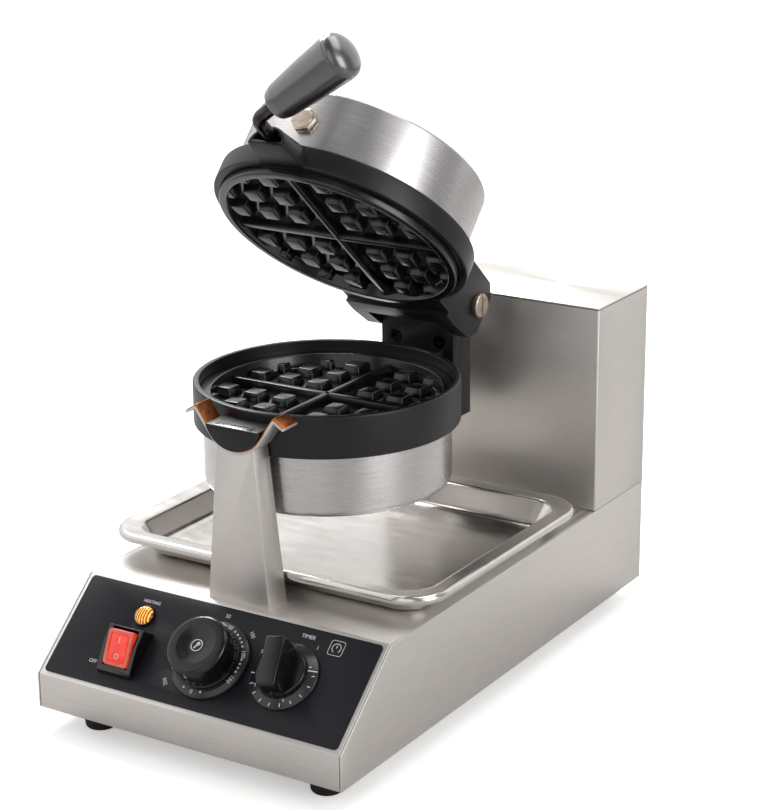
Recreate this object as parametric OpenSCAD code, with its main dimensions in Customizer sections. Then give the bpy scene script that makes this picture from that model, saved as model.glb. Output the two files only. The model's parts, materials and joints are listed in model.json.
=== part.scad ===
// Rotary round waffle maker: a box base with a sloping control panel, a rear tower that
// carries the flip shaft, a lower pan that turns on that shaft and in a front saddle,
// and a hinged upper pan with a cranked handle. Millimetres, +Z up, front towards -Y.

/* [Base] */
// Width of the base across the front
base_w = 250; // [240:1:280]
// Length of the base, front to back
base_len = 430; // [425:1:460]
// Height of the base's top face above the table
base_top = 94.5; // [90:0.5:110]
// Height of the front lip's upper edge above the table
lip_top = 40.5; // [36:0.5:46]
// How far the sloping panel runs back
slope_run = 62; // [56:1:70]
// Height of the feet under the base
foot_h = 15; // [10:1:25]
// Thickness of the steel sheet
sheet = 1.2; // [0.8:0.1:1.5]

/* [Tower] */
// Width of the tower, measured from the base's right side
tower_w = 187; // [180:1:200]
// Depth of the tower, front to back
tower_d = 80; // [76:1:90]
// Height of the tower's top above the table
tower_top = 252; // [245:1:270]

/* [Pans] */
// Distance of the pans' centre behind the front lip
pan_back = 178.5; // [176:0.5:182]
// Height of the flip axis, which is also the pans' parting plane
flip_z = 227; // [222:1:240]
// Outer radius of both cast rings
ring_r = 94; // [92:0.5:96]
// Outer radius of the lower steel can
can_r = 87.5; // [84:0.5:88]
// Outer radius of the upper steel can
upper_can_r = 85.5; // [84:0.5:87]
// Height of the lower ring
lower_ring_h = 30; // [28:1:34]
// Height of the whole lower pan
lower_pan_h = 74; // [70:1:78]
// Height of the upper ring
upper_ring_h = 16.5; // [16:0.5:20]
// Height of the whole upper pan
upper_pan_h = 62; // [58:1:68]

/* [Waffle pattern] */
// Spacing of the teeth
tooth_pitch = 24.5; // [23:0.5:26]
// Width of a tooth at its root
tooth_root = 15.5; // [14:0.5:17]
// Width of a tooth at its tip
tooth_tip = 11.5; // [9:0.5:12]
// Height of the teeth
tooth_h = 6.5; // [5:0.5:8]

/* [Lid] */
// How far the lid stands open, in degrees
lid_open = 42; // [0:1:50]
// Distance of the lid hinge behind the pans' centre
hinge_back = 135.5; // [134:0.5:138]
// Height of the lid hinge above the parting plane
hinge_up = 25; // [24:0.5:28]

/* [Handle] */
// Diameter of the handle rod
rod_d = 9.2; // [8:0.2:10]
// Length of the grip without its domed end
grip_len = 60; // [52:1:80]
// Diameter of the grip at its far end
grip_d = 33; // [24:1:36]

/* [Tray] */
// Width of the drip tray
tray_w = 270; // [264:1:280]
// Height of the drip tray
tray_h = 20.5; // [14:0.5:22]
// Width of the tray's flat rim
tray_rim = 14; // [10:1:18]

/* [Hidden] */
$fn = 64;
eps = 0.01;

// Reference planes. The origin is the middle of the base's footprint, gland included.
gland_reach = 14;
y_front = -(base_len + gland_reach) / 2;
y_rear = y_front + base_len;
x_side = base_w / 2;
pan_y = y_front + pan_back;
tower_y = y_rear - tower_d;
tower_x = x_side - tower_w;
base_bottom = foot_h;

// Control panel: its own axes are x, v up the slope and h out of the slope.
slope_rise = base_top - lip_top;
slope_angle = atan(slope_rise / slope_run);
slope_len = sqrt(slope_rise * slope_rise + slope_run * slope_run);
fascia_t = 0.8;
fascia_side = 4.5;
fascia_low = 3;
fascia_high = 2.2;
switch_x = -63.5;
switch_v = 29.5;
switch_w = 28;
switch_l = 36;
rocker_h = 8.2;
rocker_tilt = 25;
rocker_pin_r = 1.5;
lamp_x = -63.5;
lamp_v = 59;
temp_x = 3;
temp_v = 39.5;
timer_x = 61.5;
timer_v = 42;
timer_bar_h = 16.5;
spindle_r = 3;
bush_gap = 0.05;
gap = 0.3;

// Saddle and its half-round bosses
boss_r = 22.5;
boss_drop = 6;
boss_front = pan_y - 115;
liner_r = boss_r + gap;
liner_t = 0.8;
saddle_r = liner_r + liner_t;
saddle_t = 1.6;
saddle_out = saddle_r + saddle_t;
saddle_y = pan_y - 112;
saddle_d = 17;
arm_tilt = 55;
arm_len = 21;
ear_len = 10;
ear_tilt = 32;

// Post under the saddle
post_w = 50;
post_top_w = 29;
post_d = 21;

// Hinge and shaft
hinge_y = pan_y + hinge_back;
hinge_z = flip_z + hinge_up;
block_w = 62;
block_d = 25;
block_y = pan_y + 121.5;
block_low = 62;
hinge_bolt_r = 5;
cheek_in = block_w / 2 + gap;
cheek_out = 43.5;
flange_t = 8;
flange_r = 27;
shaft_r = 10;
shaft_bore_r = 6;
shaft_start = block_y + block_d;
shaft_end = tower_y + 44;
bush_len = 24;
bush_r = 14;

// Pans, measured from the parting plane
parting_gap = 0.5;
can_t = 1;
lip_depth = 6;
lip_r = 88;
mould_r = 81.5;
lower_bore = 89.5;
ledge = 20;
lower_floor = 19;
upper_floor = 3;
plate_t = 9;
rib_w = 7;
rib_tip = 4.5;
heater_r = 55;
heater_tube_r = 4;
stud_r = 5;
stud_ring = 66;
can_edge_r = 5;

// Handle in the closed lid's frame
rod_r = rod_d / 2;
lug_front_r = 14.2;
lug_root_r = 21;
lug_wall = 2.8;
lug_front = 117;
lug_floor = 1.6;
stud_y = -75;
rod_up = 7.8;
rod_bend = 135;
grip_dir = [0.81, -0.36, 0.47];
grip_start = 17.5;
dome_h = 9;
bend_weld = 0.2;

tray_y0 = pan_y - 89.5;
tray_y1 = tower_y - 33;
tray_corner = 28;
tray_t = 1;

function quarter(cx, cy, r, a0, a1, n = 12) =
    [for (i = [0 : n]) let (a = a0 + (a1 - a0) * i / n) [cx + r * cos(a), cy + r * sin(a)]];

// --- helpers -----------------------------------------------------------------------------

// Puts children on the control panel, with v up the slope and h out of it.
module on_panel(x, v, h = 0)
    translate([0, y_front, lip_top]) rotate([slope_angle, 0, 0]) translate([x, v, h]) children();

// Turns children from the closed lid's frame to the lid's open rest pose.
module on_lid()
    translate([0, hinge_y, hinge_z]) rotate([-lid_open, 0, 0]) translate([0, -hinge_y, -hinge_z])
        children();

// Extrudes a profile drawn in the Y-Z plane along X, centred on x.
module across(width, x = 0)
    translate([x - width / 2, 0, 0]) rotate([90, 0, 90]) linear_extrude(width) children();

// Lays a cylinder along Y, starting at y.
module along_y(x, y, z, r, len)
    translate([x, y, z]) rotate([-90, 0, 0]) cylinder(r = r, h = len);

// Lays a cylinder along X, starting at x.
module along_x(x, y, z, r, len)
    translate([x, y, z]) rotate([0, 90, 0]) cylinder(r = r, h = len);

// A box given by its two opposite corners.
module box(low, high)
    translate(low) cube([high[0] - low[0], high[1] - low[1], high[2] - low[2]]);

// Rounded rectangle about the tray's centre, with true round corners.
module tray_outline(inset, corner)
    translate([0, (tray_y0 + tray_y1) / 2]) {
        half_x = tray_w / 2 - inset;
        half_y = (tray_y1 - tray_y0) / 2 - inset;
        square([2 * half_x, 2 * (half_y - corner)], center = true);
        square([2 * (half_x - corner), 2 * half_y], center = true);
        for (sx = [-1, 1], sy = [-1, 1])
            translate([sx * (half_x - corner), sy * (half_y - corner)]) circle(corner);
    }

// --- base ----------------------------------------------------------------------------------

// The base's outline seen from the side, drawn in by t square to every face.
module side_profile(t = 0)
    polygon([[y_front + t, base_bottom], [y_front + t, lip_top - t * tan(45 - slope_angle / 2)],
        [y_front + slope_run + t * tan(slope_angle / 2), base_top - t], [y_rear - t, base_top - t],
        [y_rear - t, base_bottom]]);

module base_wrapper()
    color("gainsboro") difference() {
        across(base_w - 2 * sheet) difference() {
            side_profile();
            side_profile(sheet);
            translate([y_front, base_bottom - sheet]) square([base_len, sheet]);
        }
        across(base_w) translate([y_front + sheet, base_bottom - 1]) square([base_len - 2 * sheet, 3]);
        panel_cutouts(-4, 4);
        box([tower_x + 15, tower_y + 15, base_top - 5], [x_side - 15, y_rear - 15, base_top + 5]);
    }

// The openings that the controls need through the panel.
module panel_cutouts(h0, h1) {
    on_panel(switch_x - 12, switch_v - 14, h0) cube([24, 28, h1 - h0]);
    on_panel(lamp_x, lamp_v, h0) cylinder(r = 6, h = h1 - h0);
    on_panel(temp_x, temp_v, h0) cylinder(r = 5, h = h1 - h0);
    on_panel(timer_x, timer_v, h0) cylinder(r = 5, h = h1 - h0);
}

module side_panel(side)
    color("lightgray") across(sheet, side * (x_side - sheet / 2)) side_profile();

module left_side_panel() side_panel(-1);
module right_side_panel() side_panel(1);

module bottom_cover()
    color("silver") difference() {
        box([-x_side + sheet, y_front + sheet, base_bottom],
            [x_side - sheet, y_rear - sheet, base_bottom + sheet]);
        for (x = [-50 : 20 : 50], y = [-60, 60])
            translate([x, y, base_bottom - 1]) linear_extrude(4) {
                square([4, 40], center = true);
                for (s = [-1, 1]) translate([0, s * 20]) circle(2);
            }
        foot_places() cylinder(r = 2.5, h = 40, center = true);
        for (p = bottom_screw_places()) translate([p[0], p[1], 0]) cylinder(r = 2, h = 40);
    }

module foot_places()
    for (x = [-90, 98], y = [y_front + 24, y_rear - 24]) translate([x, y, base_bottom]) children();

function bottom_screw_places() = [for (x = [-1, 1], y = [-130, 0, 130]) [x * (x_side - 10), y]];

module bottom_screws()
    color("silver") for (p = bottom_screw_places()) translate([p[0], p[1], 0]) {
        translate([0, 0, base_bottom - 2.2]) cylinder(r = 3.6, h = 2.2);
        translate([0, 0, base_bottom - eps]) cylinder(r = 2, h = 9);
    }

module rubber_feet()
    color("black") foot_places() translate([0, 0, -foot_h]) difference() {
        rotate_extrude() polygon([[0, 0], [10, 0], [11, 1.5], [12.5, foot_h], [0, foot_h]]);
        translate([0, 0, -1]) cylinder(r = 5, h = 6);
        cylinder(r = 2.5, h = 2 * foot_h);
    }

module foot_screws()
    color("silver") foot_places() {
        translate([0, 0, -foot_h + 3]) cylinder(r = 4.2, h = 2);
        translate([0, 0, -foot_h + 5 - eps]) cylinder(r = 2.5, h = foot_h + 3);
        translate([0, 0, sheet]) cylinder(r = 4, h = 3.2, $fn = 6);
    }

module control_fascia()
    color("dimgray") difference() {
        on_panel(0, fascia_low, 0) linear_extrude(fascia_t) fascia_outline();
        panel_cutouts(-1, 3);
    }

module fascia_outline() {
    half = x_side - fascia_side;
    len = slope_len - fascia_low - fascia_high;
    corner = 3;
    translate([-half + corner, 0]) square([2 * (half - corner), len]);
    translate([-half, corner]) square([2 * half, len - 2 * corner]);
    for (x = [-half + corner, half - corner], v = [corner, len - corner])
        translate([x, v]) circle(corner);
}

// --- tower ---------------------------------------------------------------------------------

module tower_shell()
    color("gainsboro") difference() {
        box([tower_x, tower_y, base_top], [x_side, y_rear - sheet, tower_top]);
        box([tower_x + sheet, tower_y + sheet, base_top - 1],
            [x_side - sheet, y_rear + 1, tower_top - sheet]);
        along_y(0, tower_y - 5, flip_z, shaft_r + 2, 10);
    }

module tower_rear_cover()
    color("lightgray") difference() {
        box([tower_x, y_rear - sheet, base_top], [x_side, y_rear, tower_top]);
        for (row = [0 : 5], col = [-1, 1])
            translate([tower_mid() + col * 38, y_rear - 5, tower_top - 45 - row * 8])
                rotate([-90, 0, 0]) linear_extrude(10) {
                    square([50, 3], center = true);
                    for (s = [-1, 1]) translate([s * 25, 0]) circle(1.5);
                }
        cover_screw_places() along_y(0, y_rear - 5, 0, 2, 10);
        along_y(gland_x(), y_rear - 5, gland_z(), 8, 10);
    }

function tower_mid() = (tower_x + x_side) / 2;
function gland_x() = x_side - 32;
function gland_z() = base_top + 28;

module cover_screw_places()
    for (x = [tower_x + 8, x_side - 8], z = [base_top + 10, tower_top - 10])
        translate([x, 0, z]) children();

module cover_screws()
    color("silver") cover_screw_places() {
        along_y(0, y_rear, 0, 3.6, 2.2);
        along_y(0, y_rear - 9, 0, 2, 9 + eps);
    }

module cable_gland()
    color("black") difference() {
        union() {
            along_y(gland_x(), y_rear, gland_z(), 12, 4);
            translate([gland_x(), y_rear + 4 - eps, gland_z()]) rotate([-90, 0, 0])
                rotate_extrude() polygon([[0, 0], [10.5, 0], [10.5, 5], [8, gland_reach - 4], [0, gland_reach - 4]]);
            along_y(gland_x(), y_rear - 14, gland_z(), 8, 14 + eps);
        }
        along_y(gland_x(), y_rear - 20, gland_z(), 4, 50);
    }

module gland_nut()
    color("black") difference() {
        translate([gland_x(), y_rear - sheet - 6, gland_z()]) rotate([-90, 0, 0])
            cylinder(r = 12.5, h = 6, $fn = 6);
        along_y(gland_x(), y_rear - 20, gland_z(), 8, 30);
    }

module bearing_stud_places()
    for (x = [-27, 27], z = [-22, 14]) translate([x, 0, flip_z + z]) children();

module bearing_housing()
    color("slategray") difference() {
        union() {
            box([-35, tower_y + sheet, flip_z - 30], [35, tower_y + sheet + 8, flip_z + 22]);
            along_y(0, tower_y + sheet, flip_z, 20, bush_len);
        }
        along_y(0, tower_y - 5, flip_z, bush_r, bush_len + 20);
        bearing_stud_places() along_y(0, tower_y - 5, 0, 3, 30);
    }

module bearing_bush()
    color("peru") difference() {
        along_y(0, tower_y + sheet, flip_z, bush_r, bush_len);
        along_y(0, tower_y - 5, flip_z, shaft_r + bush_gap, bush_len + 20);
    }

// Studs welded behind the tower's front, so nothing shows outside.
module bearing_studs()
    color("silver") bearing_stud_places() {
        along_y(0, tower_y + sheet, 0, 3, 15);
        translate([0, tower_y + sheet + 8, 0]) rotate([-90, 0, 0]) cylinder(r = 5.2, h = 4, $fn = 6);
    }

// --- post and saddle ---------------------------------------------------------------------------

module front_post()
    color("gainsboro") difference() {
        post_solid(0);
        post_solid(sheet);
        along_y(0, saddle_y - 5, flip_z, saddle_out, 60);
    }

// A tapered box with an open foot; inset gives the inner space.
module post_solid(inset) {
    foot = base_top - (inset > 0 ? 1 : 0);
    height = flip_z - 15 - foot;
    back = saddle_y + saddle_d - inset;
    translate([0, saddle_y + inset, foot]) difference() {
        rotate([90, 0, 180]) linear_extrude(post_d - 2 * inset)
            polygon([[-post_w / 2 + inset, 0], [post_w / 2 - inset, 0],
                [post_top_w / 2 - inset, height], [-post_top_w / 2 + inset, height]]);
        across(post_w + 2) polygon([[post_d - 2 * inset, 0], [post_d + 5, 0], [post_d + 5, height + 1],
            [back - saddle_y - inset, height + 1]]);
    }
}

// Cross-section of a strip bent round the boss, with tangent arms and turned-down ears. Its
// right half runs out along the lower face and back along the upper one.
function cradle_half(r, t, arm, ear) =
    let (start = arm_tilt - 90,
        out = [cos(start), sin(start)],
        tip = r * out + arm * [cos(arm_tilt), sin(arm_tilt)],
        along = [cos(ear_tilt), -sin(ear_tilt)],
        under = tip + t * [-sin(ear_tilt), -cos(ear_tilt)],
        fold = under + (r + t - under * out) / (along * out) * along,
        ear_face = ear > t ? [fold, under + ear * along, tip + ear * along] : [tip + t * out])
    concat(quarter(0, 0, r + t, -90, start), ear_face, [tip], quarter(0, 0, r, start, -90));

module cradle_section(r, t, arm, ear) {
    half = cradle_half(r, t, arm, ear);
    polygon(concat(half, [for (i = [len(half) - 2 : -1 : 1]) [-half[i][0], half[i][1]]]));
}

module cradle(r, t, arm, ear)
    translate([0, saddle_y + saddle_d, flip_z]) rotate([90, 0, 0]) linear_extrude(saddle_d)
        cradle_section(r, t, arm, ear);

module saddle() color("lightgray") cradle(saddle_r, saddle_t, arm_len, ear_len);

// The liner follows the saddle's inner face and folds out over its ears, a hair clear of them.
module saddle_liner()
    color("chocolate") cradle(liner_r, liner_t, arm_len + liner_t + 0.05, ear_len);

module saddle_rivets()
    color("silver") for (y = [5, 12]) translate([0, saddle_y + y, flip_z - saddle_out - 6])
        cylinder(r = 2, h = 6 - eps);

// --- controls ----------------------------------------------------------------------------------

// The raised wedge that the rocker sits in.
module switch_housing()
    color("black") difference() {
        union() {
            on_panel(switch_x, switch_v, fascia_t) rotate([90, 0, 90])
                translate([0, 0, -switch_w / 2]) linear_extrude(switch_w)
                    polygon([[-switch_l / 2, 0], [switch_l / 2, 0], [switch_l / 2 - 4, 12.5],
                        [2, 11], [-switch_l / 2 + 1, 4]]);
            on_panel(switch_x - 12, switch_v - 14, -24) cube([24, 28, 24 + fascia_t + eps]);
        }
        on_panel(switch_x - 10.8, switch_v - 13.2, -8) cube([21.6, 26.4, 40]);
        on_panel(switch_x, switch_v, rocker_h) rotate([0, 90, 0])
            cylinder(r = rocker_pin_r + bush_gap, h = 26, center = true);
    }

module rocker()
    color("red") on_panel(switch_x, switch_v, rocker_h) rotate([90, 0, 90]) {
        linear_extrude(20.8, center = true) rotate(rocker_tilt) translate([0, 1.4])
            square([25, 6], center = true);
        cylinder(r = rocker_pin_r, h = 25.6, center = true);
    }

module lamp_bezel()
    color("black") on_panel(lamp_x, lamp_v, 0) difference() {
        union() {
            translate([0, 0, fascia_t]) cylinder(r = 7.6, h = 1.4);
            translate([0, 0, -14]) cylinder(r = 5.9, h = 15);
        }
        translate([0, 0, -12]) cylinder(r = 4.8, h = 20);
    }

module lamp_lens()
    color("orange") on_panel(lamp_x, lamp_v, 0) {
        translate([0, 0, -6]) cylinder(r = 4.8, h = 9);
        translate([0, 0, fascia_t + 1.4]) rotate_extrude()
            polygon(concat([[0, 0]], [[6.8, 0]], quarter(2.8, 0, 4, 0, 90)));
    }

// A dial control behind the panel: a can, its threaded neck and the spindle that the knob turns.
module dial_control(x, v, w, l, d)
    difference() {
        on_panel(x, v, 0) {
            translate([-w / 2, -l / 2, -sheet - d]) cube([w, l, d]);
            translate([0, 0, -sheet - eps]) cylinder(r = 4.9, h = sheet + fascia_t);
        }
        on_panel(x, v, -12) cylinder(r = spindle_r + bush_gap, h = 30);
    }

module thermostat_body() color("silver") dial_control(temp_x, temp_v, 30, 30, 20);
module timer_body() color("silver") dial_control(timer_x, timer_v, 44, 40, 22);

module spindle(x, v) on_panel(x, v, -11.5) cylinder(r = spindle_r, h = 11.5 + fascia_t + 14);
module thermostat_shaft() color("silver") spindle(temp_x, temp_v);
module timer_shaft() color("silver") spindle(timer_x, timer_v);

module dial_disc(x, v, r, h)
    on_panel(x, v, fascia_t + gap) difference() {
        rotate_extrude() polygon([[0, 0], [r, 0], [r - 0.6, h - 1.2], [r - 4, h], [0, h]]);
        translate([0, 0, -1]) cylinder(r = spindle_r, h = 20);
    }

module temperature_dial() color("dimgray") dial_disc(temp_x, temp_v, 29, 4.5);
module timer_dial() color("dimgray") dial_disc(timer_x, timer_v, 24.5, 5);

module temperature_knob()
    color("black") on_panel(temp_x, temp_v, fascia_t + gap + 4.5) difference() {
        rotate_extrude() polygon([[0, 0], [23, 0], [22.3, 2], [22.3, 16.5], [20.6, 19], [15, 20.5], [0, 20.5]]);
        translate([0, 0, -1]) cylinder(r = spindle_r, h = 14 + 1 - gap - 4.5);
    }

module timer_knob()
    color("black") on_panel(timer_x, timer_v, fascia_t + gap + 5) difference() {
        union() {
            rotate_extrude() polygon([[0, 0], [18.6, 0], [18, 4], [0, 4]]);
            rotate(14) translate([0, 0, 4 - eps]) linear_extrude(timer_bar_h)
                square([14, 36], center = true);
        }
        translate([0, 0, -1]) cylinder(r = spindle_r, h = 14 + 1 - gap - 5);
    }

module terminal_block()
    color("ivory") translate([40, y_rear - 60, base_bottom + sheet]) difference() {
        cube([60, 22, 18]);
        for (i = [0 : 4]) translate([6 + i * 12, 11, 8]) cylinder(r = 2.5, h = 20);
    }

// --- tray --------------------------------------------------------------------------------------

module drip_tray()
    color("whitesmoke") {
        floor_z = base_top + gap;
        rim_z = floor_z + tray_h;
        wall_inset = tray_rim + 8;
        difference() {
            union() {
                translate([0, 0, rim_z - tray_t]) linear_extrude(tray_t) tray_outline(0, tray_corner);
                translate([0, 0, rim_z - 6]) linear_extrude(6) difference() {
                    tray_outline(0, tray_corner);
                    tray_outline(tray_t + 1, tray_corner - tray_t - 1);
                }
                hull() {
                    translate([0, 0, rim_z - tray_t]) linear_extrude(tray_t)
                        tray_outline(tray_rim - tray_t, tray_corner - 8);
                    translate([0, 0, floor_z]) linear_extrude(tray_t)
                        tray_outline(wall_inset, tray_corner - 12);
                }
            }
            hull() {
                translate([0, 0, rim_z]) linear_extrude(tray_t) tray_outline(tray_rim, tray_corner - 9);
                translate([0, 0, floor_z + tray_t]) linear_extrude(tray_t)
                    tray_outline(wall_inset + 1, tray_corner - 13);
            }
        }
    }

// --- lower pan -----------------------------------------------------------------------------------

module at_pan(up = 0) translate([0, pan_y, flip_z + up]) children();

module lower_ring()
    color("dimgray") difference() {
        union() {
            at_pan(-lower_ring_h) cylinder(r = ring_r, h = lower_ring_h, $fn = 96);
            difference() {
                along_y(0, boss_front, flip_z, boss_r, 30);
                box([-30, boss_front - 1, flip_z - boss_drop], [30, pan_y, flip_z + 30]);
            }
            box([-22, pan_y + 85, flip_z - lower_ring_h], [22, pan_y + 118, flip_z - ledge]);
        }
        at_pan(-ledge) cylinder(r = lower_bore, h = ledge + 1, $fn = 96);
        at_pan(-lower_ring_h - 1) cylinder(r = can_r, h = lower_ring_h, $fn = 96);
        arm_bolt_places() cylinder(r = 3, h = 60, center = true);
    }

module arm_bolt_places()
    for (x = [-13, 13]) translate([x, pan_y + 107, flip_z - lower_ring_h]) children();

module lower_can()
    color("lightgray") difference() {
        at_pan() rotate_extrude() polygon(concat(
            [[0, -lower_pan_h]],
            quarter(can_r - can_edge_r, can_edge_r - lower_pan_h, can_edge_r, -90, 0),
            [[can_r, -ledge], [can_r - can_t, -ledge]],
            quarter(can_r - can_edge_r, can_edge_r - lower_pan_h, can_edge_r - can_t, 0, -90),
            [[0, can_t - lower_pan_h]]));
        stud_places() translate([0, 0, flip_z - lower_pan_h - 1]) cylinder(r = 2.5, h = 4);
    }

module stud_places() for (a = [30, 150, 270]) translate([0, pan_y, 0]) rotate(a)
    translate([stud_ring, 0, 0]) children();

// The tooth and rib pattern, standing on z = 0 inside a circle of radius r.
module waffle_pattern(r, h)
    intersection() {
        union() {
            for (i = [-3 : 3], j = [-3 : 3])
                if (i != 0 && j != 0 && abs(i) + abs(j) < 5)
                    translate([sign(i) * (abs(i) * tooth_pitch - 3), sign(j) * (abs(j) * tooth_pitch - 3), 0])
                        linear_extrude(h, scale = tooth_tip / tooth_root)
                            square(tooth_root, center = true);
            for (a = [0, 90]) rotate(a) translate([-r, 0, 0]) rotate([90, 0, 90])
                linear_extrude(2 * r) polygon([[-rib_w / 2, 0], [rib_w / 2, 0], [rib_tip / 2, h], [-rib_tip / 2, h]]);
            cylinder(r = 9, h = 1);
        }
        translate([0, 0, -1]) cylinder(r = r, h = h + 2);
    }

module lower_plate()
    color("dimgray") {
        at_pan() rotate_extrude($fn = 96) polygon([[0, -lower_floor - plate_t], [can_r - can_t - gap, -lower_floor - plate_t],
            [can_r - can_t - gap, -ledge], [lower_bore - gap, -ledge], [lower_bore - gap, -lip_depth - 2],
            [mould_r, -lip_depth - 2], [mould_r - 2, -lower_floor], [0, -lower_floor]]);
        at_pan(-lower_floor - eps) waffle_pattern(mould_r - 1.6, tooth_h + eps);
        difference() {
            stud_places() translate([0, 0, flip_z - lower_pan_h + can_t])
                cylinder(r = stud_r, h = lower_pan_h - can_t - lower_floor - plate_t + eps);
            stud_places() translate([0, 0, flip_z - lower_pan_h]) cylinder(r = 2.5, h = 20);
        }
    }

module heater(top, side)
    color("darkred") {
        at_pan(top - side * heater_tube_r) rotate_extrude() translate([heater_r, 0]) circle(heater_tube_r, $fn = 32);
        for (x = [-8, 8]) translate([x, pan_y + heater_r, flip_z + top - side * heater_tube_r])
            rotate([side > 0 ? 180 : 0, 0, 0]) cylinder(r = 3, h = 14);
    }

module lower_heater() heater(-lower_floor - plate_t, 1);

module insulation_disc(z0, z1)
    color("beige") difference() {
        translate([0, pan_y, z0]) cylinder(r = can_r - can_t - gap, h = z1 - z0);
        stud_places() translate([0, 0, z0 - 1]) cylinder(r = stud_r + gap, h = z1 - z0 + 2);
        for (x = [-8, 8]) translate([x, pan_y + heater_r, z0 - 1]) cylinder(r = 4, h = z1 - z0 + 2);
    }

module lower_insulation() insulation_disc(flip_z - 50, flip_z - 38);

module lower_can_screws()
    color("silver") stud_places() {
        translate([0, 0, flip_z - lower_pan_h - 2.4]) cylinder(r = 4.4, h = 2.4);
        translate([0, 0, flip_z - lower_pan_h - eps]) cylinder(r = 2.5, h = 14);
    }

// --- hinge block and flip shaft --------------------------------------------------------------------

module hinge_block()
    color("dimgray") difference() {
        union() {
            box([-block_w / 2, block_y, flip_z - block_low], [block_w / 2, block_y + block_d, hinge_z]);
            along_x(-block_w / 2, hinge_y, hinge_z, 11, block_w);
            box([-22, pan_y + 85, flip_z - ledge], [22, block_y + 1, flip_z - 9]);
        }
        at_pan(-lower_ring_h) cylinder(r = ring_r, h = lower_ring_h + 1, $fn = 96);
        for (s = [-1, 1]) along_x(s > 0 ? block_w / 2 - 20 : -block_w / 2 - 1, hinge_y, hinge_z, hinge_bolt_r, 21);
        block_screw_places() along_y(0, block_y - 1, 0, 3, block_d + 2);
        block_screw_places() translate([0, block_y - eps, 0]) rotate([-90, 0, 0])
            cylinder(r1 = 5.5, r2 = 3, h = 3);
        arm_bolt_places() translate([0, 0, 5]) cylinder(r = 3, h = 13);
    }

module block_screw_places() for (x = [-18.5, 18.5]) translate([x, 0, flip_z - 3.3]) children();

module block_screws()
    color("silver") block_screw_places() difference() {
        union() {
            translate([0, block_y, 0]) rotate([-90, 0, 0]) cylinder(r1 = 5.4, r2 = 3, h = 2.9);
            along_y(0, block_y + 2.5, 0, 3, block_d + 3);
        }
        translate([0, block_y - 1, 0]) rotate([-90, 0, 0]) cylinder(r = 2, h = 2.6, $fn = 6);
    }

module arm_bolts()
    color("silver") arm_bolt_places() {
        translate([0, 0, -5]) cylinder(r = 5.8, h = 5, $fn = 6);
        translate([0, 0, -eps]) cylinder(r = 3, h = 18);
    }

module flip_shaft()
    color("silver") difference() {
        union() {
            along_y(0, shaft_start, flip_z, flange_r, flange_t);
            along_y(0, shaft_start, flip_z, shaft_r, shaft_end - shaft_start);
        }
        along_y(0, shaft_start - 1, flip_z, shaft_bore_r, shaft_end - shaft_start + 2);
        block_screw_places() along_y(0, shaft_start - 1, 0, 3, flange_t + 2);
    }

shaft_stop = tower_y + sheet + bush_len + gap;

module shaft_washer()
    color("silver") difference() {
        along_y(0, shaft_stop, flip_z, 17, 2);
        along_y(0, shaft_stop - 5, flip_z, shaft_r, 12);
    }

module shaft_nut()
    color("silver") difference() {
        translate([0, shaft_stop + 2, flip_z]) rotate([-90, 0, 0]) cylinder(r = 17, h = 9, $fn = 6);
        along_y(0, shaft_stop, flip_z, shaft_r, 30);
    }

module hinge_bolts()
    color("silver") for (s = [-1, 1]) translate([0, hinge_y, hinge_z]) rotate([0, s * 90, 0]) {
        translate([0, 0, block_w / 2 - 20]) cylinder(r = hinge_bolt_r, h = cheek_out - block_w / 2 + 20 + gap);
        translate([0, 0, cheek_out + gap]) difference() {
            rotate_extrude() polygon([[0, 0], [9, 0], [9, 3], [8.2, 4], [0, 4]]);
            translate([-10, -0.8, 2.6]) cube([20, 1.6, 3]);
        }
    }

// --- lid -----------------------------------------------------------------------------------------

// Closed-lid frame with its zero on the upper ring's lower edge.
module at_lid() on_lid() at_pan(parting_gap) children();

module upper_ring()
    color("dimgray") at_lid() difference() {
        union() {
            cylinder(r = ring_r, h = upper_ring_h, $fn = 96);
            difference() {
                translate([0, -lug_front, 0]) rotate([-90, 0, 0])
                    cylinder(r1 = lug_front_r, r2 = lug_root_r, h = 40);
                box([-30, -lug_front - 1, -30], [30, 0, 0]);
            }
        }
        difference() {
            translate([0, -lug_front - 1, 1.5]) rotate([-90, 0, 0])
                cylinder(r1 = lug_front_r - lug_wall, r2 = lug_front_r + 2.6 - lug_wall, h = 15);
            box([-30, -lug_front - 2, -30], [30, 0, lug_floor]);
        }
        translate([0, 0, -1]) cylinder(r = lip_r + gap, h = plate_t + 1, $fn = 96);
        translate([0, 0, -1]) cylinder(r = upper_can_r, h = 40, $fn = 96);
        translate([0, -lug_front - 1, rod_up]) rotate([-90, 0, 0]) cylinder(r = rod_r, h = 40);
        bracket_screw_places() rotate([-90, 0, 0]) cylinder(r = 2.5, h = 60, center = true);
    }

module upper_can()
    color("lightgray") at_lid() difference() {
        rotate_extrude() polygon(concat(
            [[upper_can_r - can_t, plate_t], [upper_can_r, plate_t]],
            quarter(upper_can_r - can_edge_r / 2, upper_pan_h - can_edge_r / 2, can_edge_r / 2, 0, 90, 8),
            [[0, upper_pan_h], [0, upper_pan_h - can_t]],
            quarter(upper_can_r - can_edge_r / 2, upper_pan_h - can_edge_r / 2, can_edge_r / 2 - can_t, 90, 0, 8)));
        translate([0, -upper_can_r, 37]) rotate([-90, 0, 0]) cylinder(r = 5, h = 10, center = true);
    }

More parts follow.
